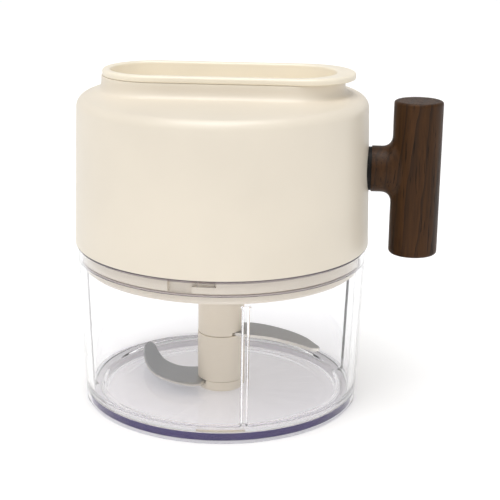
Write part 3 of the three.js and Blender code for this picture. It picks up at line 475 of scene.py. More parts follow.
# %% [markdown]
# A mesh is made from points in millimetres, its faces are turned outwards, and edges sharper than a given
# angle stay crisp. `fused` and `carved` join and cut solids with the exact Boolean solver, and keep the
# result as a plain mesh in the first solid's material.

# %% Meshes, joins and cuts


def shape(name, points, faces, finish, crisp=CRISP):
    mesh = bpy.data.meshes.new(name)
    mesh.from_pydata([Vector(point) * MM for point in points], [], faces)
    work = bmesh.new()
    work.from_mesh(mesh)
    bmesh.ops.remove_doubles(work, verts=work.verts, dist=1e-7)
    bmesh.ops.recalc_face_normals(work, faces=work.faces)
    work.to_mesh(mesh)
    work.free()
    made = placed(name, mesh)
    dress(made, finish.material, crisp)
    return made


def dress(made, material, crisp=CRISP):
    made.data.materials.clear()
    made.data.materials.append(material)
    made.data.polygons.foreach_set("material_index", [0] * len(made.data.polygons))
    made.data.shade_smooth()
    made.data.set_sharp_from_angle(angle=math.radians(crisp))


def plain_mesh(made):
    """Keeps what the modifiers make, as a plain mesh."""
    bpy.context.view_layer.update()
    evaluated = made.evaluated_get(bpy.context.evaluated_depsgraph_get())
    mesh = bpy.data.meshes.new_from_object(evaluated)
    made.modifiers.clear()
    made.data = mesh


def combined(made, others, operation, crisp):
    material = made.data.materials[0]
    for other in others:
        step = made.modifiers.new("step", "BOOLEAN")
        step.operation = operation
        step.solver = "EXACT"
        step.object = other
        plain_mesh(made)
        bpy.data.objects.remove(other)
    dress(made, material, crisp)
    return made


def fused(made, *others, crisp=CRISP):
    return combined(made, others, "UNION", crisp)


def carved(made, *others, crisp=CRISP):
    return combined(made, others, "DIFFERENCE", crisp)


def lathe(name, corners, finish, sides=ROUND_SIDES, closed=False):
    return shape(name, *spun(rounded(corners, closed), even_angles(sides)), finish)


def cylinder(radius, low, high, sides=SMALL_SIDES):
    return lathe("cutter", [(0, low), (radius, low), (radius, high), (0, high)], black, sides)


def prism(name, outline, low, high, finish):
    """An upright solid over a flat outline of (x, y)."""
    return shape(name, *lofted([[(x, y, z) for x, y in outline] for z in (low, high)]), finish)


def moved(made, turn=None, by=(0, 0, 0)):
    """Turns and moves a piece by changing its mesh, so its object stays at the origin."""
    made.data.transform(Matrix.Translation(Vector(by) * MM) @ (turn or Matrix.Identity(4)))
    return made


ABOUT_Y = Matrix.Rotation(math.pi / 2, 4, "Y")


def around(degrees):
    return Matrix.Rotation(math.radians(degrees), 4, "Z")


def mount(made, body, slot, *nodes):
    """Puts a finished piece on its body, in place of the plain solids that it stands for."""
    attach(made, body)
    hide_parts(*nodes)
    print(made.name, "has", len(made.data.polygons), "faces")


# %% [markdown]
# ## Floor and light
# The chopper stands on a white table in a bright room. The table glows a little, as paper does that is
# lit from behind, so that it stays white as far as it is seen. The walls of the room are brighter than
# its ceiling, which lights the bowl's inside from all around under the head.

# %% Floor and room
FLOOR_HALF = 6000
TABLE_GLOW = 0.2
WALL_LIGHT = 0.7
CEILING_LIGHT = 0.2
WHITE = (1.0, 1.0, 1.0, 1.0)

table = Finish("white_table", {
    "Base Color": (0.93, 0.93, 0.93, 1.0), "Roughness": 0.6, "Emission Color": WHITE,
    "Emission Strength": TABLE_GLOW,
})
table_corners = [(x * FLOOR_HALF, y * FLOOR_HALF, 0) for x, y in ((-1, -1), (1, -1), (1, 1), (-1, 1))]
floor = shape("floor", table_corners, [(0, 1, 2, 3)], table)

world = bpy.data.worlds.new("white_room")
world.use_nodes = True
room = Tree(world.node_tree)
upwards = room.parts(room.node("ShaderNodeTexCoord", output="Generated"))[2]
brightness = room.between(upwards, 0.3, 0.95, WALL_LIGHT, CEILING_LIGHT)
background = room.nodes.nodes["Background"]
background.inputs["Color"].default_value = WHITE
room.feed(background.inputs["Strength"], brightness)
bpy.context.scene.world = world

# %% [markdown]
# Four broad far lamps stand in front, at the front left and above, and shade the head gently towards the
# right. The fourth is seen only in reflections: it gives the shoulder a sheen and lights nothing else. A
# near round lamp over the lid gives the shoulder its lighter edge.

# %% Lamps
BROAD = math.radians(40)
HEAD_MIDDLE = (0, 0, 0.08)


def aimed(lamp, away, distance, target):
    """Points a lamp at a place from degrees to the right of the front and degrees up."""
    side, up = (math.radians(value) for value in away)
    outwards = Vector((math.sin(side) * math.cos(up), -math.cos(side) * math.cos(up), math.sin(up)))
    made = placed(lamp.name, lamp)
    made.location = outwards * distance
    made.rotation_euler = (made.location - Vector(target)).to_track_quat("Z", "Y").to_euler()
    return made


def broad_lamp(name, away, strength, only_sheen=False):
    lamp = bpy.data.lights.new(name, "SUN")
    lamp.angle = BROAD
    lamp.energy = strength
    made = aimed(lamp, away, 1.0, (0, 0, 0))
    made.visible_diffuse = not only_sheen


def round_lamp(name, away, distance, size, power):
    lamp = bpy.data.lights.new(name, "AREA")
    lamp.shape = "DISK"
    lamp.size = size
    lamp.energy = power
    aimed(lamp, away, distance, HEAD_MIDDLE)


broad_lamp("front_lamp", (0, 55), 0.56)
broad_lamp("left_lamp", (-45, 55), 0.45)
broad_lamp("upper_lamp", (0, 82), 0.62)
broad_lamp("sheen_lamp", (30, 93), 0.6, only_sheen=True)
round_lamp("lid_lamp", (0, 88), 1.6, 1.0, 6)

# %% [markdown]
# ## Bowl
# The bowl is one clear moulding: a tapering wall, a stepped rim that the head's plug fits into, and a
# floor with a raised ring over the foot groove. Four ribs stir the food, and four lugs under the rim lock
# the head. The spun outline gives the wall; a Geometry Nodes tree then presses the ribs and lugs out of
# its inner side, so wall and ribs stay one clean surface, which clear plastic needs.

# %% The bowl's sizes
BOWL_BASE = 59.7
BOWL_RIM = 62.2
BOWL_HEIGHT = 69.7
BOWL_WALL = 3.0
RIM_WALL = 1.6
LEDGE = 63.2
FLOOR_STEP = 6.1
RIM_TOP = 69.65
REPEATS = 4
RIB_ANGLE = -74.5
RIB_TOP = 59.0
RIB_DEPTH = 1.1
RIB_HALF = 1.15
RIB_SOFT = 0.45
RIB_SLOPE = 0.3
RIB_CIRCLE = 57.5
LUG_ANGLE = -89.6
LUG_LOW = 67.3
LUG_HIGH = 69.2
LUG_DEPTH = 1.75
LUG_HALF = 3.3
LUG_SOFT = 0.12
LUG_SLOPE = 0.1
LUG_CIRCLE = 60.5
COLUMN_GAP = 0.004


def outer_wall(height):
    return BOWL_BASE + (BOWL_RIM - BOWL_BASE) * height / BOWL_HEIGHT


def inner_wall(height):
    return outer_wall(height) - BOWL_WALL


def rim_inner(height):
    return outer_wall(height) - RIM_WALL


# %% [markdown]
# The tree below works on any spun wall. It measures how far each point lies from the middle of the
# nearest pad, round the wall, and moves the point inwards by the pad's depth, with soft edges. Only points
# that carry the attribute `inside` move.

# %% Pads pressed out of a wall
PAD_INPUTS = ("Count", "First angle", "Half width", "Soft edge", "Depth", "Low", "High", "Slope")


class ShapeTree(Tree):
    """A Geometry Nodes tree that takes a geometry and some numbers, and gives a geometry."""

    def __init__(self, name, inputs):
        super().__init__(bpy.data.node_groups.new(name, "GeometryNodeTree"))
        face = self.nodes.interface
        face.new_socket("Geometry", in_out="INPUT", socket_type="NodeSocketGeometry")
        face.new_socket("Geometry", in_out="OUTPUT", socket_type="NodeSocketGeometry")
        for key in inputs:
            face.new_socket(key, in_out="INPUT", socket_type="NodeSocketFloat")
        group = self.nodes.nodes.new("NodeGroupInput")
        self.given = {key: Socket(self, group.outputs[key]) for key in ("Geometry", *inputs)}

    def give(self, geometry, finish):
        solid = self.node("GeometryNodeRealizeInstances", {}, {0: geometry})
        sockets = {"Geometry": solid, "Material": finish.material}
        output = self.nodes.nodes.new("NodeGroupOutput")
        self.feed(output.inputs[0], self.node("GeometryNodeSetMaterial", {}, sockets))
        return self.nodes


def pad_tree():
    tree = ShapeTree("pads_on_a_wall", PAD_INPUTS)
    given = tree.given
    x, y, z = tree.parts(tree.node("GeometryNodeInputPosition"))
    half_step = math.pi / given["Count"]
    angle = x.maths("ARCTAN2", y, x) - given["First angle"]
    wrapped = angle.maths("WRAP", angle, half_step, 0 - half_step)
    radius = (x * x + y * y) ** 0.5
    across = wrapped.maths("ABSOLUTE", wrapped) * radius
    soft = given["Soft edge"]
    half = given["Half width"]
    side = 1 - tree.between(across, half - soft, half + soft, kind="SMOOTHSTEP")
    foot = tree.between(z, given["Low"] - soft, given["Low"])
    head = 1 - tree.between(z, given["High"] - given["Slope"], given["High"])
    inside = tree.node("GeometryNodeInputNamedAttribute", {"data_type": "FLOAT"}, {"Name": "inside"})
    push = given["Depth"] * side * foot * head * inside
    flat = tree.node("ShaderNodeCombineXYZ", {}, {0: x / radius, 1: y / radius})
    offset = tree.node("ShaderNodeVectorMath", {"operation": "SCALE"}, {0: flat, "Scale": 0 - push})
    sockets = {"Geometry": given["Geometry"], "Offset": offset}
    return tree.give(tree.node("GeometryNodeSetPosition", {}, sockets), clear)


def add_nodes(made, nodes, values):
    """Adds a Geometry Nodes modifier and sets its inputs by their identifiers."""
    step = made.modifiers.new("nodes", "NODES")
    step.node_group = nodes
    for item in nodes.interface.items_tree:
        if item.in_out == "INPUT" and item.name in values:
            step[item.identifier] = values[item.name]


# %% [markdown]
# The wall's columns are spread evenly, with a few more at the edges of each pad, so that an edge is as
# narrow as it is on the real moulding. Ribs and lugs stand at the radii `RIB_CIRCLE` and `LUG_CIRCLE`.

# %% The bowl's mesh


def pad_columns(first_degrees, half_width, soft, radius):
    middles = [math.radians(first_degrees + i * 360 / REPEATS) for i in range(REPEATS)]
    shares = (-1, -0.5, 0, 0.5, 1)
    edges = [side * (half_width + share * soft) / radius for side in (-1, 1) for share in shares]
    return [(middle + edge) % FULL_TURN for middle in middles for edge in edges]


def spread_columns(extra, count, least):
    """Even angles, leaving out those that lie too close to an extra one."""
    kept = [a for a in even_angles(count) if all(abs(a - b) > least for b in extra)]
    return sorted(kept + extra)


def wall_corners():
    """Up the foot groove and the outer wall, over the rim, and down the inner wall to the floor."""
    floor_corners = [
        (51.2, FLOOR_STEP, 1.2), (51.2, 1.9, 1.0), (48.9, 1.9, 0.5), (48.2, 1.8, 0.5), (47.5, 1.9, 0.5),
        (45.8, 1.9, 0.6), (44.6, 1.7, 0.6), (4.6, 1.7, 0.8), (3.4, 2.3, 0.4), (2.1, 2.3, 0.2),
    ]
    heights = [RIB_TOP + 0.8, RIB_TOP, RIB_TOP - RIB_SLOPE, RIB_TOP - 1, 50, 40, 30, 20, 12]
    lug_heights = [LUG_HIGH + LUG_SLOPE, LUG_HIGH, LUG_LOW, LUG_LOW - 0.1, 66, 65]
    return [
        (0, 0), (52.8, 0, 0.3), (52.8, 4.5, 0.3), (57.5, 4.5, 0.3), (57.5, 0, 0.25),
        (BOWL_BASE, 0, 1.2), (outer_wall(RIM_TOP), RIM_TOP, 0.45), (rim_inner(RIM_TOP), RIM_TOP, 0.3),
        *((rim_inner(z), z) for z in lug_heights),
        (rim_inner(LEDGE), LEDGE, 0.25), (inner_wall(LEDGE), LEDGE, 0.3),
        *((inner_wall(z), z) for z in heights),
        (inner_wall(FLOOR_STEP), FLOOR_STEP, 2.0), *floor_corners, (2.1, 0.9), (0, 0.9),
    ]


def on_inner_wall(x, y, z):
    """Whether a point lies on the wall's inner side, over the floor's step and under the rim's top."""
    beyond = (inner_wall(z) if z < LEDGE else rim_inner(z)) + 0.4
    return FLOOR_STEP - 0.05 < z < RIM_TOP - 0.05 and 52.5 < math.hypot(x, y) < beyond


def make_bowl():
    pads = (
        (RIB_ANGLE, RIB_HALF, RIB_SOFT, RIB_DEPTH, FLOOR_STEP - 1, RIB_TOP, RIB_SLOPE, RIB_CIRCLE),
        (LUG_ANGLE, LUG_HALF, LUG_SOFT, LUG_DEPTH, LUG_LOW, LUG_HIGH + LUG_SLOPE, LUG_SLOPE, LUG_CIRCLE),
    )
    extra = [a for angle, half, soft, *_, circle in pads for a in pad_columns(angle, half, soft, circle)]
    columns = spread_columns(extra, ROUND_SIDES, COLUMN_GAP)
    bowl = shape("clear_bowl", *spun(rounded(wall_corners()), columns), clear, FINE_CRISP)
    inside = bowl.data.attributes.new("inside", "FLOAT", "POINT")
    for vertex in bowl.data.vertices:
        is_inside = on_inner_wall(*(value / MM for value in vertex.co))
        inside.data[vertex.index].value = 1.0 if is_inside else 0.0
    nodes = pad_tree()
    for angle, *sizes, _ in pads:
        values = [float(REPEATS), math.radians(angle)] + [size * MM for size in sizes]
        add_nodes(bowl, nodes, dict(zip(PAD_INPUTS, values)))
    plain_mesh(bowl)
    dress(bowl, clear.material, FINE_CRISP)
    mount(bowl, "bowl_unit", "clear_plastic", "bowl")


make_bowl()

# %% [markdown]
# A soft ring sits in the groove under the bowl and keeps it from sliding. A steel pin stands in the
# middle of the floor, and the blade column turns on it.

# %% Foot ring, pin and seal
foot_corners = [
    (53.1, 0, 0.4), (55.6, 0, 0.5), (55.9, 1.0, 0.4), (57.2, 1.0, 0.2), (57.2, 4.2, 0.3), (53.1, 4.2, 0.6),
]
mount(lathe("foot_band", foot_corners, indigo, closed=True), "bowl_unit", "indigo_rubber", "foot_ring")

pin_corners = [(0, 1.05), (1.95, 1.05, 0.1), (1.95, 8.4, 0.5), (1.2, 9.0, 0.3), (0, 9.0)]
mount(lathe("centre_pin", pin_corners, turned_steel, SCREW_SIDES), "bowl_unit", "steel", "pivot_pin")

seal_corners = [(59.15, 63.35, 0.2), (60.2, 63.35, 0.25), (60.2, 64.0, 0.25), (59.15, 64.0, 0.2)]
mount(lathe("seal_band", seal_corners, seal_grey, closed=True), "seal", "seal_rubber", "seal_ring")

# %% [markdown]
# ## Housing
# The head starts round and ends long: a circle at the shoulder runs into a long round-ended neck. Each
# ring of points has the same count, so the skin between them is a clean grid. The points of a long ring
# are spread evenly along its outline, quarter by quarter.

# %% Long rings
HEAD = 63.0
SEAM = 70.1
SHOULDER = 133.3
SHOULDER_REACH = 4.7
SHOULDER_DROP = 4.8
SHOULDER_RADIUS = 56.75
NECK_TOP = 140.7
NECK_HALF_LENGTH = 51.3
NECK_HALF_WIDTH = 22.4
CROWN_RISE = 1.2
NECK_FILLET = 2.6
FILLET_RISE = 4.3
SHELL = 2.2


def long_ring(offset, height, tab=0.0, tuck=0.0):
    """The neck's outline moved outwards, stretched by tab at the crank, drawn in by tuck opposite."""
    radius = NECK_HALF_WIDTH + offset
    straight = NECK_HALF_LENGTH - NECK_HALF_WIDTH
    arc = radius * math.pi / 2
    quarter = ROUND_SIDES // 4
    ring = []
    for i in range(ROUND_SIDES):
        side, step = divmod(i, quarter)
        share = 1 - step / quarter if side % 2 else step / quarter
        along = share * (arc + straight)
        angle = min(along, arc) / radius
        x = straight + radius * math.cos(angle) - max(along - arc, 0)
        y = radius * math.sin(angle)
        at_crank = side in (0, 3)
        x += (tab if at_crank else -tuck) * min(1, x / straight)
        ring.append((x if at_crank else -x, y if side < 2 else -y, height))
    return ring


def circle_ring(radius, height):
    return [(radius * math.cos(a), radius * math.sin(a), height) for a in even_angles(ROUND_SIDES)]


def between_rings(first, second, share):
    return [tuple(a + (b - a) * share for a, b in zip(p, q)) for p, q in zip(first, second)]


# %% [markdown]
# The shoulder follows a quarter of an ellipse, and the neck rises from it in a round fillet. The shell's
# inner side repeats the outer one, a wall's thickness in. Extra rings close to both ends of the straight
# side guard its smooth shading. Four posts inside, each on a web, take the cover's screws.

# %% Housing shell
SHELL_EDGE = 0.2
CRANK = 103.0
SCREW_CIRCLE = 52.4
SCREW_ANGLE = 45


def shoulder_ring(share, wall):
    angle = share * math.pi / 2
    reach = (SHOULDER_REACH - wall) * math.cos(angle)
    rise = (SHOULDER_DROP - wall) * math.sin(angle)
    return circle_ring(SHOULDER_RADIUS + reach, SHOULDER - SHOULDER_DROP + rise)


def fillet_ring(share):
    angle = share * math.pi / 2
    offset = NECK_FILLET * (1 - math.sin(angle))
    return long_ring(offset, SHOULDER + CROWN_RISE + FILLET_RISE * (1 - math.cos(angle)))


def housing_rings():
    ceiling = SHOULDER + CROWN_RISE - SHELL
    edge = SHELL_EDGE
    wall = [circle_ring(HEAD - edge, SEAM), circle_ring(HEAD - edge * 0.3, SEAM + edge * 0.3)]
    wall.append(circle_ring(HEAD, SEAM + edge))
    shoulder = [shoulder_ring(k / 14, 0) for k in range(15)]
    fillet = [fillet_ring(k / 8) for k in range(9)]
    flat = [between_rings(shoulder[-1], fillet[0], k / 4) for k in range(1, 4)]
    lip = [long_ring(0, NECK_TOP - edge), long_ring(-edge * 0.3, NECK_TOP - edge * 0.3)]
    lip.append(long_ring(-edge, NECK_TOP))
    inside = [long_ring(-2, NECK_TOP), long_ring(-2, ceiling)]
    inside += [shoulder_ring(1 - k / 6, SHELL) for k in range(7)]
    inside.append(circle_ring(HEAD - SHELL, SEAM))
    side = [between_rings(wall[-1], shoulder[0], share) for share in (0.01, 0.33, 0.66, 0.99)]
    return wall + side + shoulder + flat + fillet + lip + inside


def on_crank(made):
    return moved(made, ABOUT_Y, (0, 0, CRANK))


def make_housing():
    housing = shape("head_shell", *lofted(housing_rings(), loop=True), shell_cream)
    boss = on_crank(cylinder(8.3, 53.3, 61.5))
    bore = on_crank(cylinder(5.8, 52.0, 63.0))
    seat = on_crank(cylinder(9.3, 61.4, 64.0))
    posts = []
    for i in range(REPEATS):
        post = moved(cylinder(3.8, 66.7, 132.2, SCREW_SIDES), by=(SCREW_CIRCLE, 0, 0))
        pilot = moved(cylinder(1.75, 66.0, 78.7, SCREW_SIDES), by=(SCREW_CIRCLE, 0, 0))
        plan = [(SCREW_CIRCLE, -1), (61.1, -1), (61.1, 1), (SCREW_CIRCLE, 1)]
        fused(post, prism("web", plan, 72.3, 128.5, cream))
        posts.append(moved(carved(post, pilot), around(SCREW_ANGLE + 90 * i)))
    fused(housing, boss, *posts)
    return carved(housing, bore, seat)


mount(make_housing(), "head", "cream_plastic", "housing")

# %% [markdown]
# ## Lid
# The lid is a tray with a rounded lip. Its flange covers the neck, and at the crank's end it stretches
# into a small tab for a fingertip.

# %% Lid
TRAY = -2.3
TRAY_BOTTOM = 135.1
RECESS = TRAY - 1.5
RECESS_FLOOR = 137.6
FLANGE = NECK_TOP + 0.08
FLANGE_REACH = 0.1
FLANGE_ENDS = (4.2, 0.5)
LID_TOP = NECK_TOP + 2.8
LIP = -2.8


def arc_rings(offset, height, radius, start, end, steps, ends=()):
    """Long rings round an arc about an offset and height, from one angle in degrees to another."""
    angles = [math.radians(start + (end - start) * k / steps) for k in range(steps + 1)]
    return [long_ring(offset + radius * math.cos(a), height + radius * math.sin(a), *ends) for a in angles]


lid_rings = [
    *arc_rings(TRAY - 1.1, TRAY_BOTTOM + 1.1, 1.1, -90, 0, 4), long_ring(TRAY, FLANGE),
    *arc_rings(FLANGE_REACH - 0.5, FLANGE + 0.5, 0.5, -90, 0, 4, FLANGE_ENDS),
    *arc_rings(FLANGE_REACH - 1.1, LID_TOP - 1.1, 1.1, 0, 90, 6, FLANGE_ENDS),
    *arc_rings(LIP, LID_TOP - 1.0, 1.0, 90, 180, 5),
    *arc_rings(RECESS - 1.1, RECESS_FLOOR, 1.1, 0, -90, 5),
]
lid = shape("lift_lid", *lofted(lid_rings), lid_cream)
mount(lid, "lid", "cream_plastic", "top_lid")

# %% [markdown]
# ## Inner cover
# The cover closes the head from below. Its plug fits the bowl, and four L-shaped slots in its wall take
# the bowl's lugs. The slots are cut with blocks bent round the wall: an entry from below and a run
# along the wall, in degrees from the lug. A groove under the seam lets a thin shadow show there.

# %% Inner cover
FIT_GAP = 0.3
SLOT_RADII = (58.5, 61.3)
SLOT_ENTRY = (-14.9, -5.4, 63.4)
SLOT_RUN = (-11.2, 3.7, 67.15)


def bent_block(inner, outer, start, end, low, high):
    """A block between two radii, two angles in degrees and two heights."""
    steps = max(2, round((end - start) / 1.5))
    angles = [math.radians(start + (end - start) * k / steps) for k in range(steps + 1)]
    outline = [(outer * math.cos(a), outer * math.sin(a)) for a in angles]
    outline += [(inner * math.cos(a), inner * math.sin(a)) for a in reversed(angles)]
    return prism("cutter", outline, low, high, black)


def at_screws(radius, low, high):
    pillars = [cylinder(radius, low, high, SCREW_SIDES) for _ in range(REPEATS)]
    for i, pillar in enumerate(pillars):
        moved(moved(pillar, by=(SCREW_CIRCLE, 0, 0)), around(SCREW_ANGLE + 90 * i))
    return pillars


def make_cover():
    ridge = rim_inner(LEDGE) - FIT_GAP
    plug = inner_wall(61) - FIT_GAP
    corners = [
        (0, 60), (56.9, 60, 0.2), (56.9, 59.5, 0.1), (57.1, 59.5, 0.1), (plug, 61, 0.3), (plug, 64.4, 0.2),
        (ridge, 64.4, 0.25), (ridge, 69.2, 0.1), (57.9, 69.2), (57.9, 70.4), (60.5, 70.4), (60.5, 72, 0.2),
        (56.9, 72, 0.2), (56.9, 62, 1.5), (0, 62),
    ]
    cover = lathe("plug_cover", corners, cream)
    wells = at_screws(4.6, 61, 66.4)
    holes = at_screws(3.3, 59, 64.4) + at_screws(1.9, 62, 67)
    tube = cylinder(8, 61.5, 69.8)
    slots = []
    for i in range(REPEATS):
        middle = LUG_ANGLE + 90 * i
        for start, end, low in (SLOT_ENTRY, SLOT_RUN):
            slots.append(bent_block(*SLOT_RADII, middle + start, middle + end, low, SEAM))
    fused(cover, tube, *wells)
    return carved(cover, cylinder(4.8, 59, 71), *holes, *slots, crisp=FINE_CRISP)


mount(make_cover(), "head", "cream_plastic", "inner_cover")

# %% [markdown]
# Four screws hold the cover. One screw is modelled once, with its cross recess, and a Geometry Nodes tree
# sets a copy in each well: points on a circle, an instance on each, and then real geometry again.

# %% Cover screws
RING_INPUTS = ("Count", "Radius", "First angle", "Height")
SCREW_FOOT = 62.05


def screw_pattern():
    corners = [
        (0, 0), (2.1, 0, 0.4), (3.0, 1.0, 0.5), (3.0, 2.2, 0.2), (1.6, 2.2), (1.6, 13.0), (0.6, 14.2),
        (0, 14.2),
    ]
    screw = lathe("screw_pattern", corners, turned_steel, SCREW_SIDES)
    arm = [(-1.6, -0.3), (1.6, -0.3), (1.6, 0.3), (-1.6, 0.3)]
    arms = [moved(prism("cutter", arm, -0.5, 0.9, black), around(turn)) for turn in (0, 90)]
    return carved(screw, *arms)


def ring_of_copies_tree(pattern, finish):
    tree = ShapeTree("ring_of_copies", RING_INPUTS)
    given = tree.given
    sockets = {"Vertices": given["Count"], "Radius": given["Radius"]}
    circle = tree.node("GeometryNodeMeshCircle", {}, sockets)
    copies = tree.node("GeometryNodeObjectInfo", {}, {"Object": pattern}, "Geometry")
    spread = tree.node("GeometryNodeInstanceOnPoints", {}, {"Points": circle, "Instance": copies})
    turn = tree.node("ShaderNodeCombineXYZ", {}, {2: given["First angle"]})
    lift = tree.node("ShaderNodeCombineXYZ", {}, {2: given["Height"]})
    sockets = {"Geometry": spread, "Rotation": turn, "Translation": lift}
    return tree.give(tree.node("GeometryNodeTransform", {}, sockets), finish)


def make_cover_screws():
    pattern = screw_pattern()
    screws = placed("cover_screws", bpy.data.meshes.new("cover_screws"))
    values = (float(REPEATS), SCREW_CIRCLE * MM, math.radians(SCREW_ANGLE), SCREW_FOOT * MM)
    add_nodes(screws, ring_of_copies_tree(pattern, turned_steel), dict(zip(RING_INPUTS, values)))
    plain_mesh(screws)
    bpy.data.objects.remove(pattern)
    dress(screws, turned_steel.material)
    names = [f"cover_screw_{i + 1}" for i in range(REPEATS)]
    mount(screws, "head", "steel", *names)


make_cover_screws()

# %% [markdown]
# ## Crank
# The T handle is turned from one piece of dark wood: an upright bar on a short stem, which flares where
# it meets the bar. The two solids are joined, remeshed into one even skin, and smoothed, most at the
# joint, which gives the soft hollow that a wood turner sands there. The stem starts a little too long,
# and is cut flat to length after the smoothing.

# %% T handle
BAR_AXIS = 81.9
BAR_RADIUS = 10.25
BAR_HIGH = 29.3
BAR_LOW = -36.2
STEM_RADIUS = 9.7
STEM_START = 63.25
ROUGH_START = 61.5
FLARE = 3.8
FLARE_STEPS = 8
SKIN = 0.45
SHAFT_BORE = 4.15
SOCKET_DEPTH = 21


def stem_rings():
    def ring(tall, wide, place):
        return [(place, wide * math.sin(a), CRANK + tall * math.cos(a)) for a in even_angles(SMALL_SIDES)]
    face = BAR_AXIS - BAR_RADIUS
    rings = [ring(STEM_RADIUS, STEM_RADIUS, ROUGH_START)]
    for k in range(FLARE_STEPS + 1):
        share = k / FLARE_STEPS
        angle = share * math.pi / 2
        tall = STEM_RADIUS + FLARE * (1 - math.cos(angle))
        rings.append(ring(tall, STEM_RADIUS - 0.5 * share, face - FLARE * (1 - math.sin(angle))))
    rings.append(ring(STEM_RADIUS + FLARE, 7.0, BAR_AXIS - 2))
    return rings


def make_handle():
    corners = [
        (0, BAR_LOW), (BAR_RADIUS, BAR_LOW, 1.3), (BAR_RADIUS, -15), (BAR_RADIUS, 0),
        (BAR_RADIUS, 15), (BAR_RADIUS, BAR_HIGH, 1.0), (0, BAR_HIGH),
    ]
    handle = moved(lathe("turned_handle", corners, walnut, SMALL_SIDES), by=(BAR_AXIS, 0, CRANK))
    stem = shape("stem", *lofted(stem_rings()), walnut)
    fused(handle, stem)
    remesh = handle.modifiers.new("even_skin", "REMESH")
    remesh.mode = "VOXEL"
    remesh.voxel_size = SKIN * MM
    plain_mesh(handle)
    near = handle.vertex_groups.new(name="joint")
    for vertex in handle.data.vertices:
        gap = abs(vertex.co.x / MM - (BAR_AXIS - BAR_RADIUS * 0.75))
        height = abs(vertex.co.z / MM - CRANK)
        share = min(1.0, max(0.0, 1.6 - gap / 5)) * min(1.0, max(0.0, (19 - height) / 4))
        if share:
            near.add([vertex.index], share, "REPLACE")
    for factor, repeats, group in ((0.5, 2, ""), (0.5, 45, "joint")):
        smooth = handle.modifiers.new("smooth", "SMOOTH")
        smooth.factor = factor
        smooth.iterations = repeats
        smooth.vertex_group = group
    plain_mesh(handle)
    handle.vertex_groups.clear()
    waste = on_crank(cylinder(STEM_RADIUS + 2, ROUGH_START - 1, STEM_START))
    socket = on_crank(cylinder(SHAFT_BORE, STEM_START - 1, STEM_START + SOCKET_DEPTH))
    return carved(handle, waste, socket, crisp=HANDLE_CRISP)


mount(make_handle(), "crank", "dark_wood", "crank_handle")

# %% [markdown]
# A black collar in the head's wall carries the shaft, and its flange shows as a thin dark line between
# head and handle.

# %% Collar
collar_corners = [
    (SHAFT_BORE, 53.3), (5.65, 53.3, 0.2), (5.65, 61.55), (9.2, 61.55, 0.1), (9.2, 63.22, 0.05),
    (SHAFT_BORE, 63.22, 0.1),
]
collar = on_crank(lathe("bearing_collar", collar_corners, black, SMALL_SIDES, closed=True))
mount(collar, "head", "black_plastic", "crank_collar")

# %% [markdown]
# ## Column and blades
# Three column pieces are keyed to each other by a spigot with two flats, and each joint clamps a blade's
# hub. Only fine lines show where they meet, so the edges get a very small rounding.

# %% Column
COLUMN = 10.4
UPPER_COLUMN = 10.2
FOOT = 2.5
UPPER_JOINT = 28.2
LOWER_JOINT = 7.3
COLUMN_TOP = 58.6
BLADE_THICK = 1.4
HUB = 8.3
MOUTH = 56
CLOSE = 0.15
SPIGOT = (5.4, 4.2)
KEYHOLE = (5.55, 4.35)
PIN_BORE = 2.1


def flatted(radius, flat, low, high):
    """A cylinder with two flats, as a key or the cutter of its keyhole."""
    angles = even_angles(SMALL_SIDES)
    outline = [(radius * math.cos(a), max(-flat, min(flat, radius * math.sin(a)))) for a in angles]
    return prism("spigot", outline, low, high, beige)


def blade_seat(low, high, angle):
    ring = cylinder(HUB + 0.3, low, high)
    mouth = bent_block(HUB - 1, COLUMN + 1, angle - MOUTH, angle + MOUTH, low, high)
    return fused(ring, mouth)


def section(name, radius, low, low_edge, high, high_edge):
    return lathe(name, [(0, low), (radius, low, low_edge), (radius, high, high_edge), (0, high)], beige)


def make_column():
    bottom = UPPER_JOINT + CLOSE
    upper = section("column_top", UPPER_COLUMN, bottom, 0.25, COLUMN_TOP, 0.8)
    seat = blade_seat(bottom - 1, bottom + BLADE_THICK + CLOSE, 0)
    carved(upper, seat, flatted(*KEYHOLE, bottom - 1, 34.55))
    carved(upper, lathe("cutter", [(0, 37.85), (3.4, 37.85), (3.4, 60), (0, 60)], black, 6))
    mount(upper, "blade_unit", "beige_plastic", "column_upper")

    lower = section("column_middle", COLUMN, LOWER_JOINT, 0.2, UPPER_JOINT, 0.25)
    fused(lower, flatted(*SPIGOT, 27.2, 34.4), flatted(*SPIGOT, 4.7, 8.3))
    carved(lower, cylinder(PIN_BORE, 3.7, 9.15, SCREW_SIDES))
    mount(lower, "blade_unit", "beige_plastic", "column_lower")

    top = LOWER_JOINT - CLOSE
    foot = section("column_base", COLUMN, FOOT, 1.8, top, 0.15)
    seat = blade_seat(top - BLADE_THICK - CLOSE, top + 1, 180)
    carved(foot, seat, flatted(*KEYHOLE, 4.55, top + 1))
    carved(foot, cylinder(PIN_BORE, 2, 8, SCREW_SIDES))
    mount(foot, "blade_unit", "beige_plastic", "column_foot")


make_column()

# %% [markdown]
# A sickle blade lies between two curves, one for each edge, given by a few points in shares of the blade's
# reach. The outer edge is ground to a bevel that leaves a bright line, which the steel's painted highlight
# on sideways faces makes brighter. The tip is round, and the blade rises a little towards it.

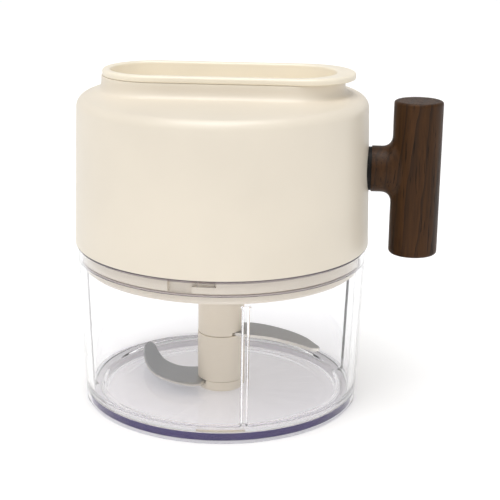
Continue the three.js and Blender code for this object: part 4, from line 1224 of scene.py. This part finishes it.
# %% Blades
BLADE_REACH = 52.0
BLADE_STEPS = 48
CURVE_STEPS = 20
TIP_STEPS = 10
LOWER_TIP = 7.2
UPPER_TIP = 4.6
BLADE_RISE = 1.5
BEVEL = 0.6
EDGE_HEIGHT = 0.9
LOWER_EDGES = (
    ((0.106, 0.131), (0.174, 0.24), (0.305, 0.242), (0.472, 0.152), (0.598, 0.016), (0.678, -0.153),
     (0.732, -0.33), (0.757, -0.48)),
    ((0.106, -0.131), (0.226, -0.141), (0.286, -0.129), (0.392, -0.141), (0.512, -0.231), (0.586, -0.361),
     (0.645, -0.5)),
)
UPPER_EDGES = (
    ((0.106, 0.131), (0.242, 0.136), (0.41, 0.068), (0.588, -0.062), (0.73, -0.22), (0.815, -0.385)),
    ((0.106, -0.131), (0.271, -0.19), (0.433, -0.241), (0.606, -0.35), (0.735, -0.457)),
)


def smooth_line(points, count):
    """Evenly spaced points on a smooth curve through points in shares of the blade's reach."""
    line = [Vector(point) * BLADE_REACH for point in points]
    knots = [line[0] * 2 - line[1], *line, line[-1] * 2 - line[-2]]
    dense = []
    for before, start, end, after in zip(knots, knots[1:], knots[2:], knots[3:]):
        for k in range(CURVE_STEPS):
            s = k / CURVE_STEPS
            bends = 2 * before - 5 * start + 4 * end - after
            twist = 3 * start - before - 3 * end + after
            dense.append((2 * start + (end - before) * s + bends * s ** 2 + twist * s ** 3) / 2)
    dense.append(line[-1])
    lengths = [0.0]
    for first, second in zip(dense, dense[1:]):
        lengths.append(lengths[-1] + (second - first).length)
    even = []
    for k in range(count + 1):
        reached = lengths[-1] * k / count
        i = min(max(bisect.bisect_right(lengths, reached) - 1, 0), len(dense) - 2)
        share = (reached - lengths[i]) / (lengths[i + 1] - lengths[i])
        even.append(dense[i].lerp(dense[i + 1], share))
    return even


def blade_sections(edges, tip):
    outer, inner = (smooth_line(edge, BLADE_STEPS) for edge in edges)
    middle = (outer[-1] + inner[-1]) / 2
    ahead = (middle - (outer[-2] + inner[-2]) / 2).normalized()
    side = outer[-1] - middle
    for k in range(1, TIP_STEPS):
        angle = k / TIP_STEPS * math.pi / 2
        centre = middle + ahead * tip * math.sin(angle)
        outer.append(centre + side * math.cos(angle))
        inner.append(centre - side * math.cos(angle))
    sections = []
    for out, back in zip(outer, inner):
        width = max((out - back).length, 0.001)
        bevel = min(BEVEL, width * 0.45)
        ground = out + (back - out) * bevel / width
        points = ((back, 0), (out, 0), (out, EDGE_HEIGHT), (ground, BLADE_THICK), (back, BLADE_THICK))
        sections.append([])
        for point, height in points:
            rise = BLADE_RISE * max(0.0, (point.length - COLUMN) / (BLADE_REACH - COLUMN))
            sections[-1].append((point.x, point.y, height + rise))
    return sections


def make_blade(name, edges, tip, turn, low, node):
    blade = shape(name, *lofted(blade_sections(edges, tip)), blade_steel, BLADE_CRISP)
    fused(blade, cylinder(HUB, 0, BLADE_THICK), crisp=BLADE_CRISP)
    carved(blade, flatted(*KEYHOLE, -1, BLADE_THICK + 1), crisp=BLADE_CRISP)
    moved(blade, around(turn), (0, 0, low))
    mount(blade, "blade_unit", "blade_steel", node)


make_blade("sickle_high", UPPER_EDGES, UPPER_TIP, 0, UPPER_JOINT + CLOSE, "upper_blade")
make_blade("sickle_low", LOWER_EDGES, LOWER_TIP, 180, LOWER_JOINT - CLOSE - BLADE_THICK, "lower_blade")

# %% [markdown]
# ## Works inside the head
# The gears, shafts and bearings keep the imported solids, which already have their teeth, flats and
# grooves. They only get their finishes.

# %% Finishes of the inner pieces
NYLON_PIECES = ("gear_frame", "inner_bush", "upper_bush", "lower_bush", "crown_gear", "pinion")
STEEL_PIECES = (
    "crank_shaft", "crank_washer", "crank_clip", "gear_screw", "blade_shaft", "shaft_clip",
    *(f"frame_screw_{i + 1}" for i in range(REPEATS)),
)
for pieces, finish in ((NYLON_PIECES, nylon), (STEEL_PIECES, turned_steel)):
    for piece in pieces:
        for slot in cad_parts[piece].material_slots:
            slot.material = finish.material
